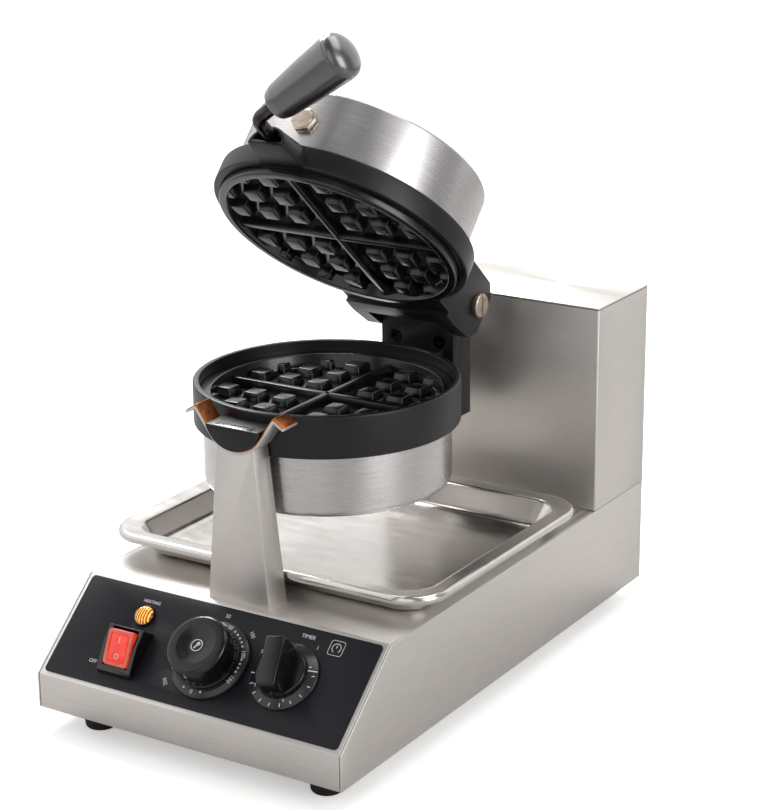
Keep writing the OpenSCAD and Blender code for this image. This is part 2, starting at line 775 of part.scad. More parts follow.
module upper_plate()
    color("dimgray") at_lid() {
        rotate_extrude($fn = 96) polygon([[lip_r, -lip_depth], [lip_r, plate_t], [upper_can_r - can_t - gap, plate_t],
            [upper_can_r - can_t - gap, plate_t + upper_floor], [0, plate_t + upper_floor], [0, upper_floor],
            [mould_r - 2, upper_floor], [mould_r, -lip_depth]]);
        translate([0, 0, upper_floor + eps]) mirror([0, 0, 1]) waffle_pattern(mould_r - 1, tooth_h + eps);
        difference() {
            translate([0, stud_y, plate_t + upper_floor - eps]) cylinder(r = 8, h = 33);
            translate([0, -90, 37]) rotate([-90, 0, 0]) cylinder(r = 5 + bush_gap, h = 26);
        }
    }

module upper_heater()
    color("darkred") at_lid() {
        translate([0, 0, plate_t + upper_floor + heater_tube_r]) rotate_extrude()
            translate([heater_r, 0]) circle(heater_tube_r, $fn = 32);
        for (x = [-8, 8]) translate([x, heater_r, plate_t + upper_floor + heater_tube_r])
            cylinder(r = 3, h = 14);
    }

module upper_insulation()
    color("beige") at_lid() difference() {
        translate([0, 0, 24]) cylinder(r = upper_can_r - can_t - gap, h = 8);
        for (x = [-8, 8]) translate([x, heater_r, 20]) cylinder(r = 4, h = 20);
        translate([0, stud_y, 20]) cylinder(r = 8 + gap, h = 20);
    }

module upper_can_bolt()
    color("silver") at_lid() translate([0, -upper_can_r, 37]) rotate([90, 0, 0]) {
        cylinder(r = 9.2, h = 5.5, $fn = 6);
        translate([0, 0, -20]) cylinder(r = 5, h = 20 + eps);
    }

// Cheeks and crossbar drawn about the hinge axis, lid closed.
module lid_bracket()
    color("dimgray") on_lid() difference() {
        union() {
            translate([0, hinge_y, hinge_z]) {
                for (s = [-1, 1]) across(cheek_out - cheek_in, s * (cheek_out + cheek_in) / 2)
                    polygon([[-36, -24], [-20, -28], [4, -25], [13, -16], [14, 14], [5, 22], [-36, 22]]);
                box([-cheek_out, -60, hinge_low()], [cheek_out, -20, -7]);
                box([-cheek_out, -34, -28], [cheek_out, -20, hinge_low()]);
            }
        }
        at_pan(0) cylinder(r = ring_r, h = parting_gap + upper_ring_h, $fn = 96);
        at_pan(parting_gap + upper_ring_h - eps) cylinder(r = upper_can_r + gap, h = 80, $fn = 96);
        along_x(-60, hinge_y, hinge_z, hinge_bolt_r + bush_gap, 120);
        at_pan(parting_gap) bracket_screw_places() rotate([-90, 0, 0]) cylinder(r = 2.5, h = 80, center = true);
    }

function hinge_low() = parting_gap - hinge_up;

module bracket_screw_places() for (x = [-22, 22]) translate([x, 100, 9]) children();

module bracket_screws()
    color("silver") at_lid() for (x = [-22, 22]) translate([x, hinge_back - 20, 9]) rotate([90, 0, 0]) {
        translate([0, 0, -3]) cylinder(r = 4.5, h = 3);
        translate([0, 0, -eps]) cylinder(r = 2.5, h = 26);
    }

// --- handle ----------------------------------------------------------------------------------------

module toward(d) rotate([0, acos(d[2] / norm(d)), atan2(d[1], d[0])]) children();

module handle_rod()
    color("black") at_lid() {
        translate([0, -rod_bend, rod_up]) {
            rotate([-90, 0, 0]) cylinder(r = rod_r, h = rod_bend - lug_front + 22);
            sphere(rod_r + bend_weld);
            toward(grip_dir) cylinder(r = rod_r, h = grip_start + 30);
        }
    }

module handle_nut()
    color("silver") at_lid() difference() {
        translate([0, -lug_front + 8.6, rod_up]) rotate([-90, 0, 0]) cylinder(r = 6.7, h = 5.2, $fn = 6);
        translate([0, -lug_front, rod_up]) rotate([-90, 0, 0]) cylinder(r = rod_r, h = 20);
    }

module handle_grip()
    color("black") at_lid() translate([0, -rod_bend, rod_up]) toward(grip_dir)
        translate([0, 0, grip_start]) difference() {
            rotate_extrude() polygon(concat([[0, 0], [8, 0], [10.8, 1.4], [12.4, 5.5], [14.8, grip_len * 0.55]],
                [for (a = [0 : 10 : 80]) [grip_d / 2 * cos(a), grip_len + dome_h * sin(a)]],
                [[0, grip_len + dome_h]]));
            translate([0, 0, -1]) cylinder(r = rod_r, h = 31);
        }

// --- assembly --------------------------------------------------------------------------------------

base_wrapper();
left_side_panel();
right_side_panel();
bottom_cover();
bottom_screws();
rubber_feet();
foot_screws();
control_fascia();
tower_shell();
tower_rear_cover();
cover_screws();
cable_gland();
gland_nut();
bearing_housing();
bearing_bush();
bearing_studs();
front_post();
saddle();
saddle_liner();
saddle_rivets();
switch_housing();
lamp_bezel();
lamp_lens();
thermostat_body();
timer_body();
terminal_block();
rocker();
temperature_dial();
temperature_knob();
thermostat_shaft();
timer_dial();
timer_knob();
timer_shaft();
drip_tray();
lower_ring();
lower_can();
lower_plate();
lower_heater();
lower_insulation();
lower_can_screws();
hinge_block();
arm_bolts();
block_screws();
flip_shaft();
shaft_washer();
shaft_nut();
hinge_bolts();
upper_ring();
upper_can();
upper_plate();
upper_heater();
upper_insulation();
upper_can_bolt();
lid_bracket();
bracket_screws();
handle_rod();
handle_nut();
handle_grip();
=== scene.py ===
# %% [markdown]
# # A rotary waffle maker
# This lesson dresses a finished CAD model. The CAD parts stay as the frame, and the pieces that
# the eye rests on are made again here with rounded edges, rolled rims and worn, brushed or
# cast finishes. Every piece then rides on the CAD body that moves it.

# %% Load the frame
import json
import math

import bmesh
import bpy
from mathutils import Matrix, Vector

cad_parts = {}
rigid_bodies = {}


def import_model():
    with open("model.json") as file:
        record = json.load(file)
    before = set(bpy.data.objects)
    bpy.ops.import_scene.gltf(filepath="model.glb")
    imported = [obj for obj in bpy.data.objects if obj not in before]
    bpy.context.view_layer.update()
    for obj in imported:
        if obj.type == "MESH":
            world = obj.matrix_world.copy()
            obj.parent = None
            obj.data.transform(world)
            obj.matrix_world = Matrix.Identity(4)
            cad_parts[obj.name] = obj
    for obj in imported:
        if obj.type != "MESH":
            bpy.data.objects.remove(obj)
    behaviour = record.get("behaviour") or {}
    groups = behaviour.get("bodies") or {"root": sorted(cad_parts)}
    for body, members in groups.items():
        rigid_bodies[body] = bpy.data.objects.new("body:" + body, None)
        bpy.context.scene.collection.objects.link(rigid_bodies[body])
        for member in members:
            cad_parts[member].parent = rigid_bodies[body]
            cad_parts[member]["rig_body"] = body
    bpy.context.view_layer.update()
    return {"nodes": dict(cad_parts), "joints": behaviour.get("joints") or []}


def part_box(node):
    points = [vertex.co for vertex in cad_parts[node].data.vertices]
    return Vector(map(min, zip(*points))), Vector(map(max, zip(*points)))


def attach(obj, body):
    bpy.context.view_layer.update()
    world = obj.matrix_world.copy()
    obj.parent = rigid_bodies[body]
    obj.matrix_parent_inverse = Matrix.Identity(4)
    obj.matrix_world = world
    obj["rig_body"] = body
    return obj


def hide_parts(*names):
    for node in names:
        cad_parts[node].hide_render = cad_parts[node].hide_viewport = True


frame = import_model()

MM = 0.001

# %% [markdown]
# ## Where things are
# The joints already say where the machine turns: the flip shaft lies on the parting plane of
# the two pans, the lid hinge says how far the lid stands open, and the knobs' axis is square
# to the sloping control panel. Four matrices made from them let each piece be drawn in its
# own simple space and then be put in place once.

# %% Four places to draw in
joints = {joint["name"]: joint for joint in frame["joints"]}
pan_centre = Vector(joints["pan_flip"]["pos_m"])
lid_hinge = Vector(joints["lid_hinge"]["pos_m"])
lid_open = math.radians(-joints["lid_hinge"]["range_deg"][0])
PARTING_GAP = 0.5 * MM
TEMPERATURE_AT = (3.0, 39.5)
TIMER_AT = (61.5, 42.0)
SWITCH_AT = (-63.5, 29.5)
LAMP_AT = (-63.5, 59.0)
AXIS_HEIGHT = 5.0
FASCIA_T = 0.8

WORLD = Matrix.Identity(4)
PAN = Matrix.Translation(pan_centre)
LID = (Matrix.Translation(lid_hinge) @ Matrix.Rotation(-lid_open, 4, "X")
       @ Matrix.Translation(pan_centre - lid_hinge + Vector((0, 0, PARTING_GAP))))

panel_out = Vector(joints["temperature_turn"]["axis"]).normalized()
panel_turn = Matrix.Rotation(math.atan2(-panel_out.y, panel_out.z), 4, "X")
panel_zero = (Vector(joints["temperature_turn"]["pos_m"])
              - panel_turn @ (Vector((*TEMPERATURE_AT, AXIS_HEIGHT)) * MM))


def rotation(degrees, axis="Z"):
    return Matrix.Rotation(math.radians(degrees), 4, axis)


def on_panel(place, height=0.0, turn=0.0):
    """A place on the control panel: across, up the slope, and out of it, in millimetres."""
    return (Matrix.Translation(panel_zero + panel_turn @ (Vector((*place, height)) * MM))
            @ panel_turn @ rotation(turn))


print("lid open", round(math.degrees(lid_open)), "degrees; panel slope",
      round(math.degrees(math.atan2(-panel_out.y, panel_out.z)), 1), "degrees")

# %% [markdown]
# ## One way to add a node
# Shader trees and geometry trees are both nodes with settings and links. One small function
# does both jobs: a socket given as a value is linked, and anything else becomes the default.


# %% Add a node
def add(tree, kind, settings=None, inputs=None):
    node = tree.nodes.new(kind)
    for key, value in (settings or {}).items():
        setattr(node, key, value)
    for key, value in (inputs or {}).items():
        if isinstance(value, bpy.types.NodeSocket):
            tree.links.new(value, node.inputs[key])
        else:
            node.inputs[key].default_value = value
    return node


def linear(code):
    """An sRGB hex colour as the linear values that shaders use."""
    parts = [int(code[i:i + 2], 16) / 255 for i in (0, 2, 4)]
    return [c / 12.92 if c <= 0.04045 else ((c + 0.055) / 1.055) ** 2.4 for c in parts] + [1.0]


print("node helper ready")

# %% [markdown]
# ## The language of the finishes
# A finish starts as a base colour, how much it is a metal and how rough it is. A pattern then
# varies all three a little. The helper `pattern` gives noise whose grain size is stated in
# millimetres along each axis, so a brushed streak is long one way and fine the other way.
# `vary` spreads that noise over colour, roughness and a shallow bump, and `grainy` does both
# where the grain is the same all ways.


# %% Finish helpers
def finish(name, colour, metallic, roughness, **extra):
    material = bpy.data.materials.new(name)
    material.use_nodes = True
    shader = material.node_tree.nodes["Principled BSDF"]
    shader.inputs["Base Color"].default_value = linear(colour)
    shader.inputs["Metallic"].default_value = metallic
    shader.inputs["Roughness"].default_value = roughness
    for key, value in extra.items():
        shader.inputs[key.replace("_", " ")].default_value = value
    return material


def pattern(material, size_mm, detail=3.0, source="Object"):
    """Noise with the given grain size in millimetres along x, y and z."""
    tree = material.node_tree
    place = add(tree, "ShaderNodeTexCoord")
    scale = [1.0 / (s * MM) for s in size_mm]
    mapped = add(tree, "ShaderNodeMapping", None,
                 {"Vector": place.outputs[source], "Scale": scale})
    return add(tree, "ShaderNodeTexNoise", None,
               {"Vector": mapped.outputs["Vector"], "Scale": 1.0, "Detail": detail}).outputs["Fac"]


def between(material, factor, low, high):
    """Spreads a 0 to 1 pattern, whose values gather round 0.5, between two numbers."""
    return add(material.node_tree, "ShaderNodeMapRange", None,
               {"Value": factor, "From Min": 0.3, "From Max": 0.7, "To Min": low,
                "To Max": high}).outputs["Result"]


def tint(material, factor, dark, light):
    tree = material.node_tree
    ramp = add(tree, "ShaderNodeValToRGB", None, {"Fac": factor})
    ramp.color_ramp.elements[0].position = 0.3
    ramp.color_ramp.elements[0].color = linear(dark)
    ramp.color_ramp.elements[1].position = 0.7
    ramp.color_ramp.elements[1].color = linear(light)
    return ramp.outputs["Color"]


def vary(material, factor, dark=None, light=None, rough=None, bump_mm=0.0):
    tree = material.node_tree
    shader = tree.nodes["Principled BSDF"]
    if dark:
        tree.links.new(tint(material, factor, dark, light), shader.inputs["Base Color"])
    if rough:
        tree.links.new(between(material, factor, *rough), shader.inputs["Roughness"])
    if bump_mm:
        bump = add(tree, "ShaderNodeBump", None,
                   {"Height": factor, "Distance": bump_mm * MM, "Strength": 1.0})
        tree.links.new(bump.outputs["Normal"], shader.inputs["Normal"])
    return material


def grainy(material, size_mm, detail, *look):
    """Varies a finish by noise that has the same grain size all ways."""
    return vary(material, pattern(material, (size_mm,) * 3, detail), *look)


print("finish helpers ready")

# %% [markdown]
# ## Brushed stainless sheet
# The base, tower and post are 1.2 mm stainless sheet, drawn past an abrasive belt, so long
# fine scratches run one way. They soften every reflection into a warm grey sheen. The belt
# ran across the front and along the sides, so one pattern serves upright faces, and a second
# one, fine across the depth, serves faces that look up. Real scratches are about 0.05 mm
# apart; here they are 0.4 mm, as coarse as they need to be to show. Light spreads across
# scratches and not along them, so the shader is anisotropic: its tangent lies level on every
# upright face, and a quarter turn makes reflections smear upwards.


# %% Brushed stainless sheet
def brushed_sheet():
    material = finish("brushed_stainless_sheet", "E0DCD7", 1.0, 0.46, Anisotropic=0.5,
                      Anisotropic_Rotation=0.25)
    tree = material.node_tree
    upright = pattern(material, (26.0, 26.0, 0.4))
    level = pattern(material, (26.0, 0.4, 26.0))
    place = add(tree, "ShaderNodeTexCoord")
    facing = add(tree, "ShaderNodeSeparateXYZ", None, {"Vector": place.outputs["Normal"]})
    looks_up = add(tree, "ShaderNodeMath", {"operation": "GREATER_THAN"},
                   {0: facing.outputs["Z"], 1: 0.7})
    streaks = add(tree, "ShaderNodeMix", None,
                  {"Factor": looks_up.outputs[0], "A": upright, "B": level}).outputs["Result"]
    surface = add(tree, "ShaderNodeNewGeometry")
    across = add(tree, "ShaderNodeVectorMath", {"operation": "CROSS_PRODUCT"},
                 {0: surface.outputs["Normal"], 1: (0.0, 0.0, 1.0)})
    never_zero = add(tree, "ShaderNodeVectorMath", {"operation": "ADD"},
                     {0: across.outputs["Vector"], 1: (0.001, 0.0, 0.0)})
    tree.links.new(never_zero.outputs["Vector"], tree.nodes["Principled BSDF"].inputs["Tangent"])
    return vary(material, streaks, "DAD5D0", "E5E1DD", (0.42, 0.5), 0.0012)


STAINLESS_SHEET = brushed_sheet()
print("made", STAINLESS_SHEET.name)

# %% [markdown]
# ## Polished and spun steel
# The drip tray is pressed from mirror-polished stainless: it shows its surroundings, and only
# faint drawing marks and wiped-on haze break the reflection. The cans are spun, so their
# scratches run round them. Light spreads across scratches, which turns every lamp and dark
# corner of the room into an upright band. The same anisotropic shader gives those bands; here
# the tangent follows each can's own UV map, round the can.


# %% Polished and spun steel
def polished_tray():
    material = finish("polished_stainless_tray", "DEDBD6", 1.0, 0.2)
    return vary(material, pattern(material, (30.0, 9.0, 30.0), 5.0), "D8D4CF", "E4E1DD",
                (0.16, 0.25), 0.004)


def spun_can():
    material = finish("spun_stainless_can", "D2CFCF", 1.0, 0.27, Anisotropic=0.75,
                      Anisotropic_Rotation=0.25)
    tree = material.node_tree
    along = add(tree, "ShaderNodeTangent", {"direction_type": "UV_MAP", "uv_map": "UVMap"})
    tree.links.new(along.outputs["Tangent"], tree.nodes["Principled BSDF"].inputs["Tangent"])
    return vary(material, pattern(material, (30.0, 0.35, 1.0), 4.0, "UV"), "C6C2C2", "D6D4D4",
                (0.24, 0.31), 0.0012)


POLISHED_TRAY = polished_tray()
SPUN_CAN = spun_can()
print("made", POLISHED_TRAY.name, SPUN_CAN.name)

# %% [markdown]
# ## Coated cast aluminium
# Rings, hinge and bracket are sand-textured castings under a black non-stick coat. The coat
# hides the metal, so it is a dielectric with a soft sheen, and the casting's grain of about
# 0.4 mm breaks up the highlight. The waffle plates have the same coat, rubbed smoother, so
# the edges of their teeth catch a brighter line.

# %% Coated cast aluminium
CAST_COAT = finish("coated_cast_aluminium", "101012", 0.0, 0.36, Specular_IOR_Level=0.42)
grainy(CAST_COAT, 0.5, 2.0, "0C0C0E", "151518", (0.32, 0.42), 0.02)
PLATE_COAT = finish("non_stick_waffle_plate", "0C0C0E", 0.0, 0.22, Coat_Weight=0.25,
                    Coat_Roughness=0.12)
grainy(PLATE_COAT, 1.6, 3.0, "0A0A0B", "111113", (0.18, 0.26), 0.004)
print("made", CAST_COAT.name, PLATE_COAT.name)

# %% [markdown]
# ## Moulded plastics and rubber
# The grip is compression-moulded phenolic, polished in the tool: a soft black gloss with a
# slight waviness. The knobs are the same plastic with a finer skin, and the switch housing is
# a glossier nylon. The rocker is a red polycarbonate lens with a lamp behind it, so some light
# passes through it, and its rim is painted a paler red, a painted highlight along its bevel.
# The amber lens has ribs 1.9 mm apart, and a wave texture paints bright and dark bands on
# them, painted light and shade, in both its colour and its glow. The feet are moulded rubber
# with a dusty bloom.

# %% Moulded plastics and rubber
PHENOLIC_GRIP = finish("polished_phenolic", "1C181E", 0.0, 0.3, Coat_Weight=1.0,
                       Coat_Roughness=0.2, IOR=1.9, Coat_IOR=1.8)
grainy(PHENOLIC_GRIP, 14.0, 2.0, "141216", "1D1B20", (0.27, 0.33), 0.002)
MOULDED_KNOB = finish("moulded_phenolic_knob", "0B0B0C", 0.0, 0.24, Coat_Weight=0.3,
                      Coat_Roughness=0.1, Specular_IOR_Level=0.4)
grainy(MOULDED_KNOB, 3.0, 2.0, "090909", "0E0E10", (0.2, 0.28), 0.001)
SWITCH_PLASTIC = finish("glossy_switch_nylon", "0E0E10", 0.0, 0.12, Coat_Weight=0.5,
                        Coat_Roughness=0.05)
grainy(SWITCH_PLASTIC, 6.0, 2.0, "0B0B0D", "131316", (0.09, 0.17), 0.01)
RED_LENS = finish("red_polycarbonate_lens", "E8402A", 0.0, 0.18, Transmission_Weight=0.25,
                  Subsurface_Weight=0.25, Subsurface_Scale=0.003, Coat_Weight=0.5,
                  Emission_Strength=0.3)
RED_LENS.node_tree.nodes["Principled BSDF"].inputs["Emission Color"].default_value = (
    linear("E8301C"))
grainy(RED_LENS, 9.0, 1.0, "E03A24", "F0543C", (0.14, 0.22), 0.004)
# The rim is the same red plastic as the lens; its paler red is a painted highlight along the
# bevel.
RED_RIM_PAINTED_HIGHLIGHT = finish("red_polycarbonate_rim_painted_highlight", "F0664C", 0.0, 0.2, Subsurface_Weight=0.3,
                 Subsurface_Scale=0.002, Coat_Weight=0.5)
grainy(RED_RIM_PAINTED_HIGHLIGHT, 9.0, 1.0, "EA5A42", "F4745A", (0.16, 0.24), 0.004)
AMBER_LENS = finish("amber_polycarbonate_lens", "E98A1C", 0.0, 0.15, Transmission_Weight=0.3,
                    Coat_Weight=0.5, Emission_Strength=0.8)
RIB_PITCH = 1.9
WAVES_PER_UNIT = 0.314
lens_tree = AMBER_LENS.node_tree
LENS_RIBS = add(lens_tree, "ShaderNodeTexWave", {"bands_direction": "X"},
                {"Vector": add(lens_tree, "ShaderNodeTexCoord").outputs["Object"],
                 "Scale": WAVES_PER_UNIT / (RIB_PITCH * MM), "Distortion": 1.5, "Detail": 1.0})
# Bright and dark bands along the ribs are painted light and shade: in the glow here and in the
# lens's colour below.
LENS_GLOW_WITH_PAINTED_BANDS = tint(AMBER_LENS, LENS_RIBS.outputs["Fac"], "7A2C08", "FFC24E")
lens_tree.links.new(LENS_GLOW_WITH_PAINTED_BANDS, lens_tree.nodes["Principled BSDF"].inputs["Emission Color"])
vary(AMBER_LENS, LENS_RIBS.outputs["Fac"], "8A3A0C", "FFC24E", (0.12, 0.2), 0.01)
FOOT_RUBBER = finish("moulded_rubber", "161617", 0.0, 0.75)
grainy(FOOT_RUBBER, 1.2, 3.0, "121213", "222223", (0.65, 0.85), 0.03)
print("made plastics and rubber")

# %% [markdown]
# ## Printed overlay
# The control fascia is a polyester overlay with a fine matt texture that keeps lamps from
# glaring, printed dark grey. Its marks are a slightly raised white ink. The dials are moulded
# black, with a glossier skin than the overlay's.

# %% Printed overlay
OVERLAY = finish("matt_polyester_overlay", "212128", 0.0, 0.42, Specular_IOR_Level=0.3)
grainy(OVERLAY, 0.9, 2.0, "16161C", "1C1C23", (0.38, 0.46), 0.003)
WHITE_INK = finish("white_screen_ink", "DCDCDC", 0.0, 0.6)
grainy(WHITE_INK, 0.8, 2.0, "C4C4C6", "EDEDEE", (0.5, 0.7), 0.004)
DIAL_SKIN = finish("moulded_dial_skin", "1B1B20", 0.0, 0.3, Coat_Weight=0.3, Coat_Roughness=0.2)
grainy(DIAL_SKIN, 1.0, 2.0, "18181D", "202026", (0.26, 0.34), 0.004)
print("made", OVERLAY.name, WHITE_INK.name, DIAL_SKIN.name)

# %% [markdown]
# ## Small metals
# Bolt heads are nickel-plated steel whose warm plating has rubbed thin, which shows as patches
# a few millimetres wide. The saddle's liner is copper-coloured bronze strip, rolled smooth.
# The handle rod and a few screws have a black oxide skin that still lets the steel's gloss
# through. Hidden parts, from turned steel to mineral wool, get their honest finish too,
# because the lid, tray and covers let the eye reach them.


# %% Small metals
def small_metal(name, dark, light, rough, size_mm=2.5, bump_mm=0.012, metallic=1.0):
    return grainy(finish(name, light, metallic, rough[0]), size_mm, 4.0, dark, light, rough,
                  bump_mm)


WORN_NICKEL = small_metal("worn_nickel_plate", "BDAC9C", "D3C6B8", (0.26, 0.34), 5.0, 0.001)
COPPER_STRIP = small_metal("rolled_copper_bronze", "BC6A3B", "D68553", (0.3, 0.42), 5.0, 0.004)
OXIDE_ROD = small_metal("black_oxide_steel", "3A3639", "565157", (0.2, 0.3), 4.0, 0.004)
BLACK_SCREW = small_metal("blackened_screw", "17171A", "2C2C30", (0.25, 0.35), 3.0, 0.003)
TURNED_STEEL = small_metal("turned_steel", "8E8E90", "B9B9BB", (0.2, 0.35), 1.5)
PLATED_HOUSING = small_metal("zinc_plated_housing", "A9A9A5", "C6C6C2", (0.28, 0.45), 6.0)
SINTERED_BRONZE = small_metal("sintered_bronze", "8A5E2F", "B28348", (0.35, 0.55), 0.8)
HEATER_SHEATH = small_metal("oxidised_heater_sheath", "2B2622", "4A423B", (0.4, 0.6), 3.0)
MINERAL_WOOL = small_metal("mineral_wool_felt", "A79E84", "D6CFB8", (0.85, 1.0), 1.2, 0.4, 0.0)
TERMINAL_NYLON = small_metal("ivory_nylon", "D8D3C2", "E6E2D4", (0.4, 0.55), 3.0, 0.01, 0.0)
print("made small metals")

# %% [markdown]
# ## Shapes from outlines
# Most parts of this machine are turned, cut from bar or folded from sheet, so an outline in
# millimetres says nearly everything. `rounded` softens an outline's corners, `lathe` spins it
# and writes a UV map whose u runs round the part, `prism` gives it a thickness, and `loft`
# joins a stack of loops. They all return a bmesh, so that several shapes can become one piece.


# %% Outline and mesh helpers
def rounded(points, radius=0.0, steps=5):
    """Rounds the corners of a closed outline. A third number is a corner's own radius."""
    outline = []
    for i, point in enumerate(points):
        here = Vector(point[:2])
        back = Vector(points[i - 1][:2]) - here
        ahead = Vector(points[(i + 1) % len(points)][:2]) - here
        size = point[2] if len(point) > 2 else radius
        if size <= 0:
            outline.append(here)
            continue
        reach = min(size / math.tan(back.angle(ahead) / 2), 0.49 * back.length,
                    0.49 * ahead.length)
        first, last = here + back.normalized() * reach, here + ahead.normalized() * reach
        for step in range(steps + 1):
            t = step / steps
            outline.append(first * (1 - t) ** 2 + here * 2 * t * (1 - t) + last * t ** 2)
    return outline


def arc(centre, radius, start, end, steps=24):
    angles = [math.radians(start + (end - start) * i / steps) for i in range(steps + 1)]
    return [(centre[0] + radius * math.cos(a), centre[1] + radius * math.sin(a)) for a in angles]


def rectangle(width, length, centre=(0.0, 0.0)):
    return [(centre[0] + x * width / 2, centre[1] + y * length / 2)
            for x, y in ((-1, -1), (1, -1), (1, 1), (-1, 1))]


def cleaned(bm):
    """Merges doubles and points the faces outwards."""
    bmesh.ops.remove_doubles(bm, verts=bm.verts, dist=0.002)
    bmesh.ops.recalc_face_normals(bm, faces=bm.faces)
    return bm


def soft_edges(bm, width, sharp=30.0, steps=2):
    """Bevels every edge sharper than an angle, in the bmesh's own unit."""
    edges = [e for e in bm.edges if len(e.link_faces) == 2
             and e.calc_face_angle(0.0) > math.radians(sharp)]
    bmesh.ops.bevel(bm, geom=edges, offset=width, segments=steps, profile=0.5,
                    affect="EDGES", clamp_overlap=True)
    return bm


def lathe(section, turns=180):
    """Spins a closed outline of (radius, height) about the z axis."""
    bm = bmesh.new()
    uv = bm.loops.layers.uv.new("UVMap")
    section = [Vector(p[:2]) for p in section]
    widest = max(p.x for p in section)
    travelled = [0.0]
    for a, b in zip(section, section[1:] + section[:1]):
        travelled.append(travelled[-1] + (b - a).length)
    rings = [[bm.verts.new((p.x * math.cos(a), p.x * math.sin(a), p.y)) for p in section]
             for a in (2 * math.pi * i / turns for i in range(turns))]
    for i in range(turns):
        for j in range(len(section)):
            k = (j + 1) % len(section)
            if section[j].x < 1e-6 and section[k].x < 1e-6:
                continue
            near, far = rings[i], rings[(i + 1) % turns]
            face = bm.faces.new((near[j], far[j], far[k], near[k]))
            spots = ((i, j), (i + 1, j), (i + 1, j + 1), (i, j + 1))
            for loop, (turn, along) in zip(face.loops, spots):
                loop[uv].uv = (2 * math.pi * widest * turn / turns * MM, travelled[along] * MM)
    return cleaned(bm)


def prism(outline, depth, edge=0.0, start=0.0):
    """Raises an outline from start by depth along z, with softened edges."""
    bm = bmesh.new()
    low = [bm.verts.new((p[0], p[1], start)) for p in outline]
    high = [bm.verts.new((p[0], p[1], start + depth)) for p in outline]
    for i in range(len(low)):
        j = (i + 1) % len(low)
        bm.faces.new((low[i], low[j], high[j], high[i]))
    bm.faces.new(low[::-1])
    bm.faces.new(high)
    cleaned(bm)
    return soft_edges(bm, edge) if edge else bm


def block(low, high, edge=0.5):
    outline = [(low[0], low[1]), (high[0], low[1]), (high[0], high[1]), (low[0], high[1])]
    return prism(outline, high[2] - low[2], edge, low[2])


def loft(loops, close_ends=True):
    """Joins a stack of equal loops of points with faces."""
    bm = bmesh.new()
    rows = [[bm.verts.new(p) for p in loop] for loop in loops]
    for low, high in zip(rows, rows[1:]):
        for i in range(len(low)):
            j = (i + 1) % len(low)
            bm.faces.new((low[i], low[j], high[j], high[i]))
    if close_ends:
        bm.faces.new(rows[0][::-1])
        bm.faces.new(rows[-1])
    return bm


def moved(bm, place):
    """Moves a shape that is still in millimetres."""
    bmesh.ops.transform(bm, matrix=place, verts=bm.verts)
    return bm


print("mesh helpers ready")

# %% [markdown]
# ## From shapes to a finished piece
# `piece` gathers shapes, scales them from millimetres, puts them in place and shades them
# smooth except across real edges. It gives the finish, hangs the piece on the body that it
# rides on and hides the CAD nodes that it stands for.
# `softened` is for CAD parts whose shape is right but whose edges are knife-sharp: a copy of
# the mesh is merged, its flat faces are joined, and its edges get a small real radius.


# %% Finished pieces
SMOOTH_BELOW = math.radians(32)


def piece(name, shapes, material, body, nodes=(), place=WORLD):
    mesh = bpy.data.meshes.new(name)
    whole = bmesh.new()
    for shape in shapes:
        part = bpy.data.meshes.new("part")
        shape.to_mesh(part)
        shape.free()
        whole.from_mesh(part)
        bpy.data.meshes.remove(part)
    bmesh.ops.transform(whole, matrix=place @ Matrix.Scale(MM, 4), verts=whole.verts)
    whole.to_mesh(mesh)
    whole.free()
    return settle(name, mesh, material, body, nodes)


def settle(name, mesh, material, body, nodes=()):
    """Makes a mesh that is already in place a piece of the machine."""
    mesh.shade_smooth()
    mesh.set_sharp_from_angle(angle=SMOOTH_BELOW)
    mesh.materials.clear()
    mesh.materials.append(material)
    made = bpy.data.objects.new(name, mesh)
    bpy.context.scene.collection.objects.link(made)
    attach(made, body)
    if nodes:
        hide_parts(*nodes)
    return made


def softened(node, width, material, steps=2):
    """A CAD node with its edges rounded to a radius in millimetres."""
    source = frame["nodes"][node]
    bm = bmesh.new()
    bm.from_mesh(source.data)
    bmesh.ops.remove_doubles(bm, verts=bm.verts, dist=2e-6)
    bmesh.ops.dissolve_limit(bm, angle_limit=math.radians(0.5), verts=bm.verts, edges=bm.edges)
    soft_edges(bm, width * MM, steps=steps)
    mesh = bpy.data.meshes.new(node + "_finished")
    bm.to_mesh(mesh)
    bm.free()
    return settle(node + "_finished", mesh, material, source["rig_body"], [node])


print("piece helpers ready")

# %% [markdown]
# ## Repeating with Geometry Nodes
# Teeth, tick marks, screws and feet are one shape many times. The tree `Copies on points`
# takes a cloud of points, puts the shape on each, turned by the point's own `turn` attribute,
# and makes the copies real. The tree `Swept tube` fillets a path and runs a round section
# along it, which is how a bent rod is made in life. Both are run once, and their result is
# kept as a plain mesh.


# %% Two geometry trees
def new_tree(name, inputs):
    tree = bpy.data.node_groups.new(name, "GeometryNodeTree")
    for label, kind in inputs:
        tree.interface.new_socket(label, in_out="INPUT", socket_type="NodeSocket" + kind)
    tree.interface.new_socket("Geometry", in_out="OUTPUT", socket_type="NodeSocketGeometry")
    return tree, add(tree, "NodeGroupInput").outputs


def end_tree(tree, geometry, finish_socket):
    real = add(tree, "GeometryNodeRealizeInstances", None, {"Geometry": geometry})
    dressed = add(tree, "GeometryNodeSetMaterial", None,
                  {"Geometry": real.outputs["Geometry"], "Material": finish_socket})
    add(tree, "NodeGroupOutput", None, {"Geometry": dressed.outputs["Geometry"]})
    return tree


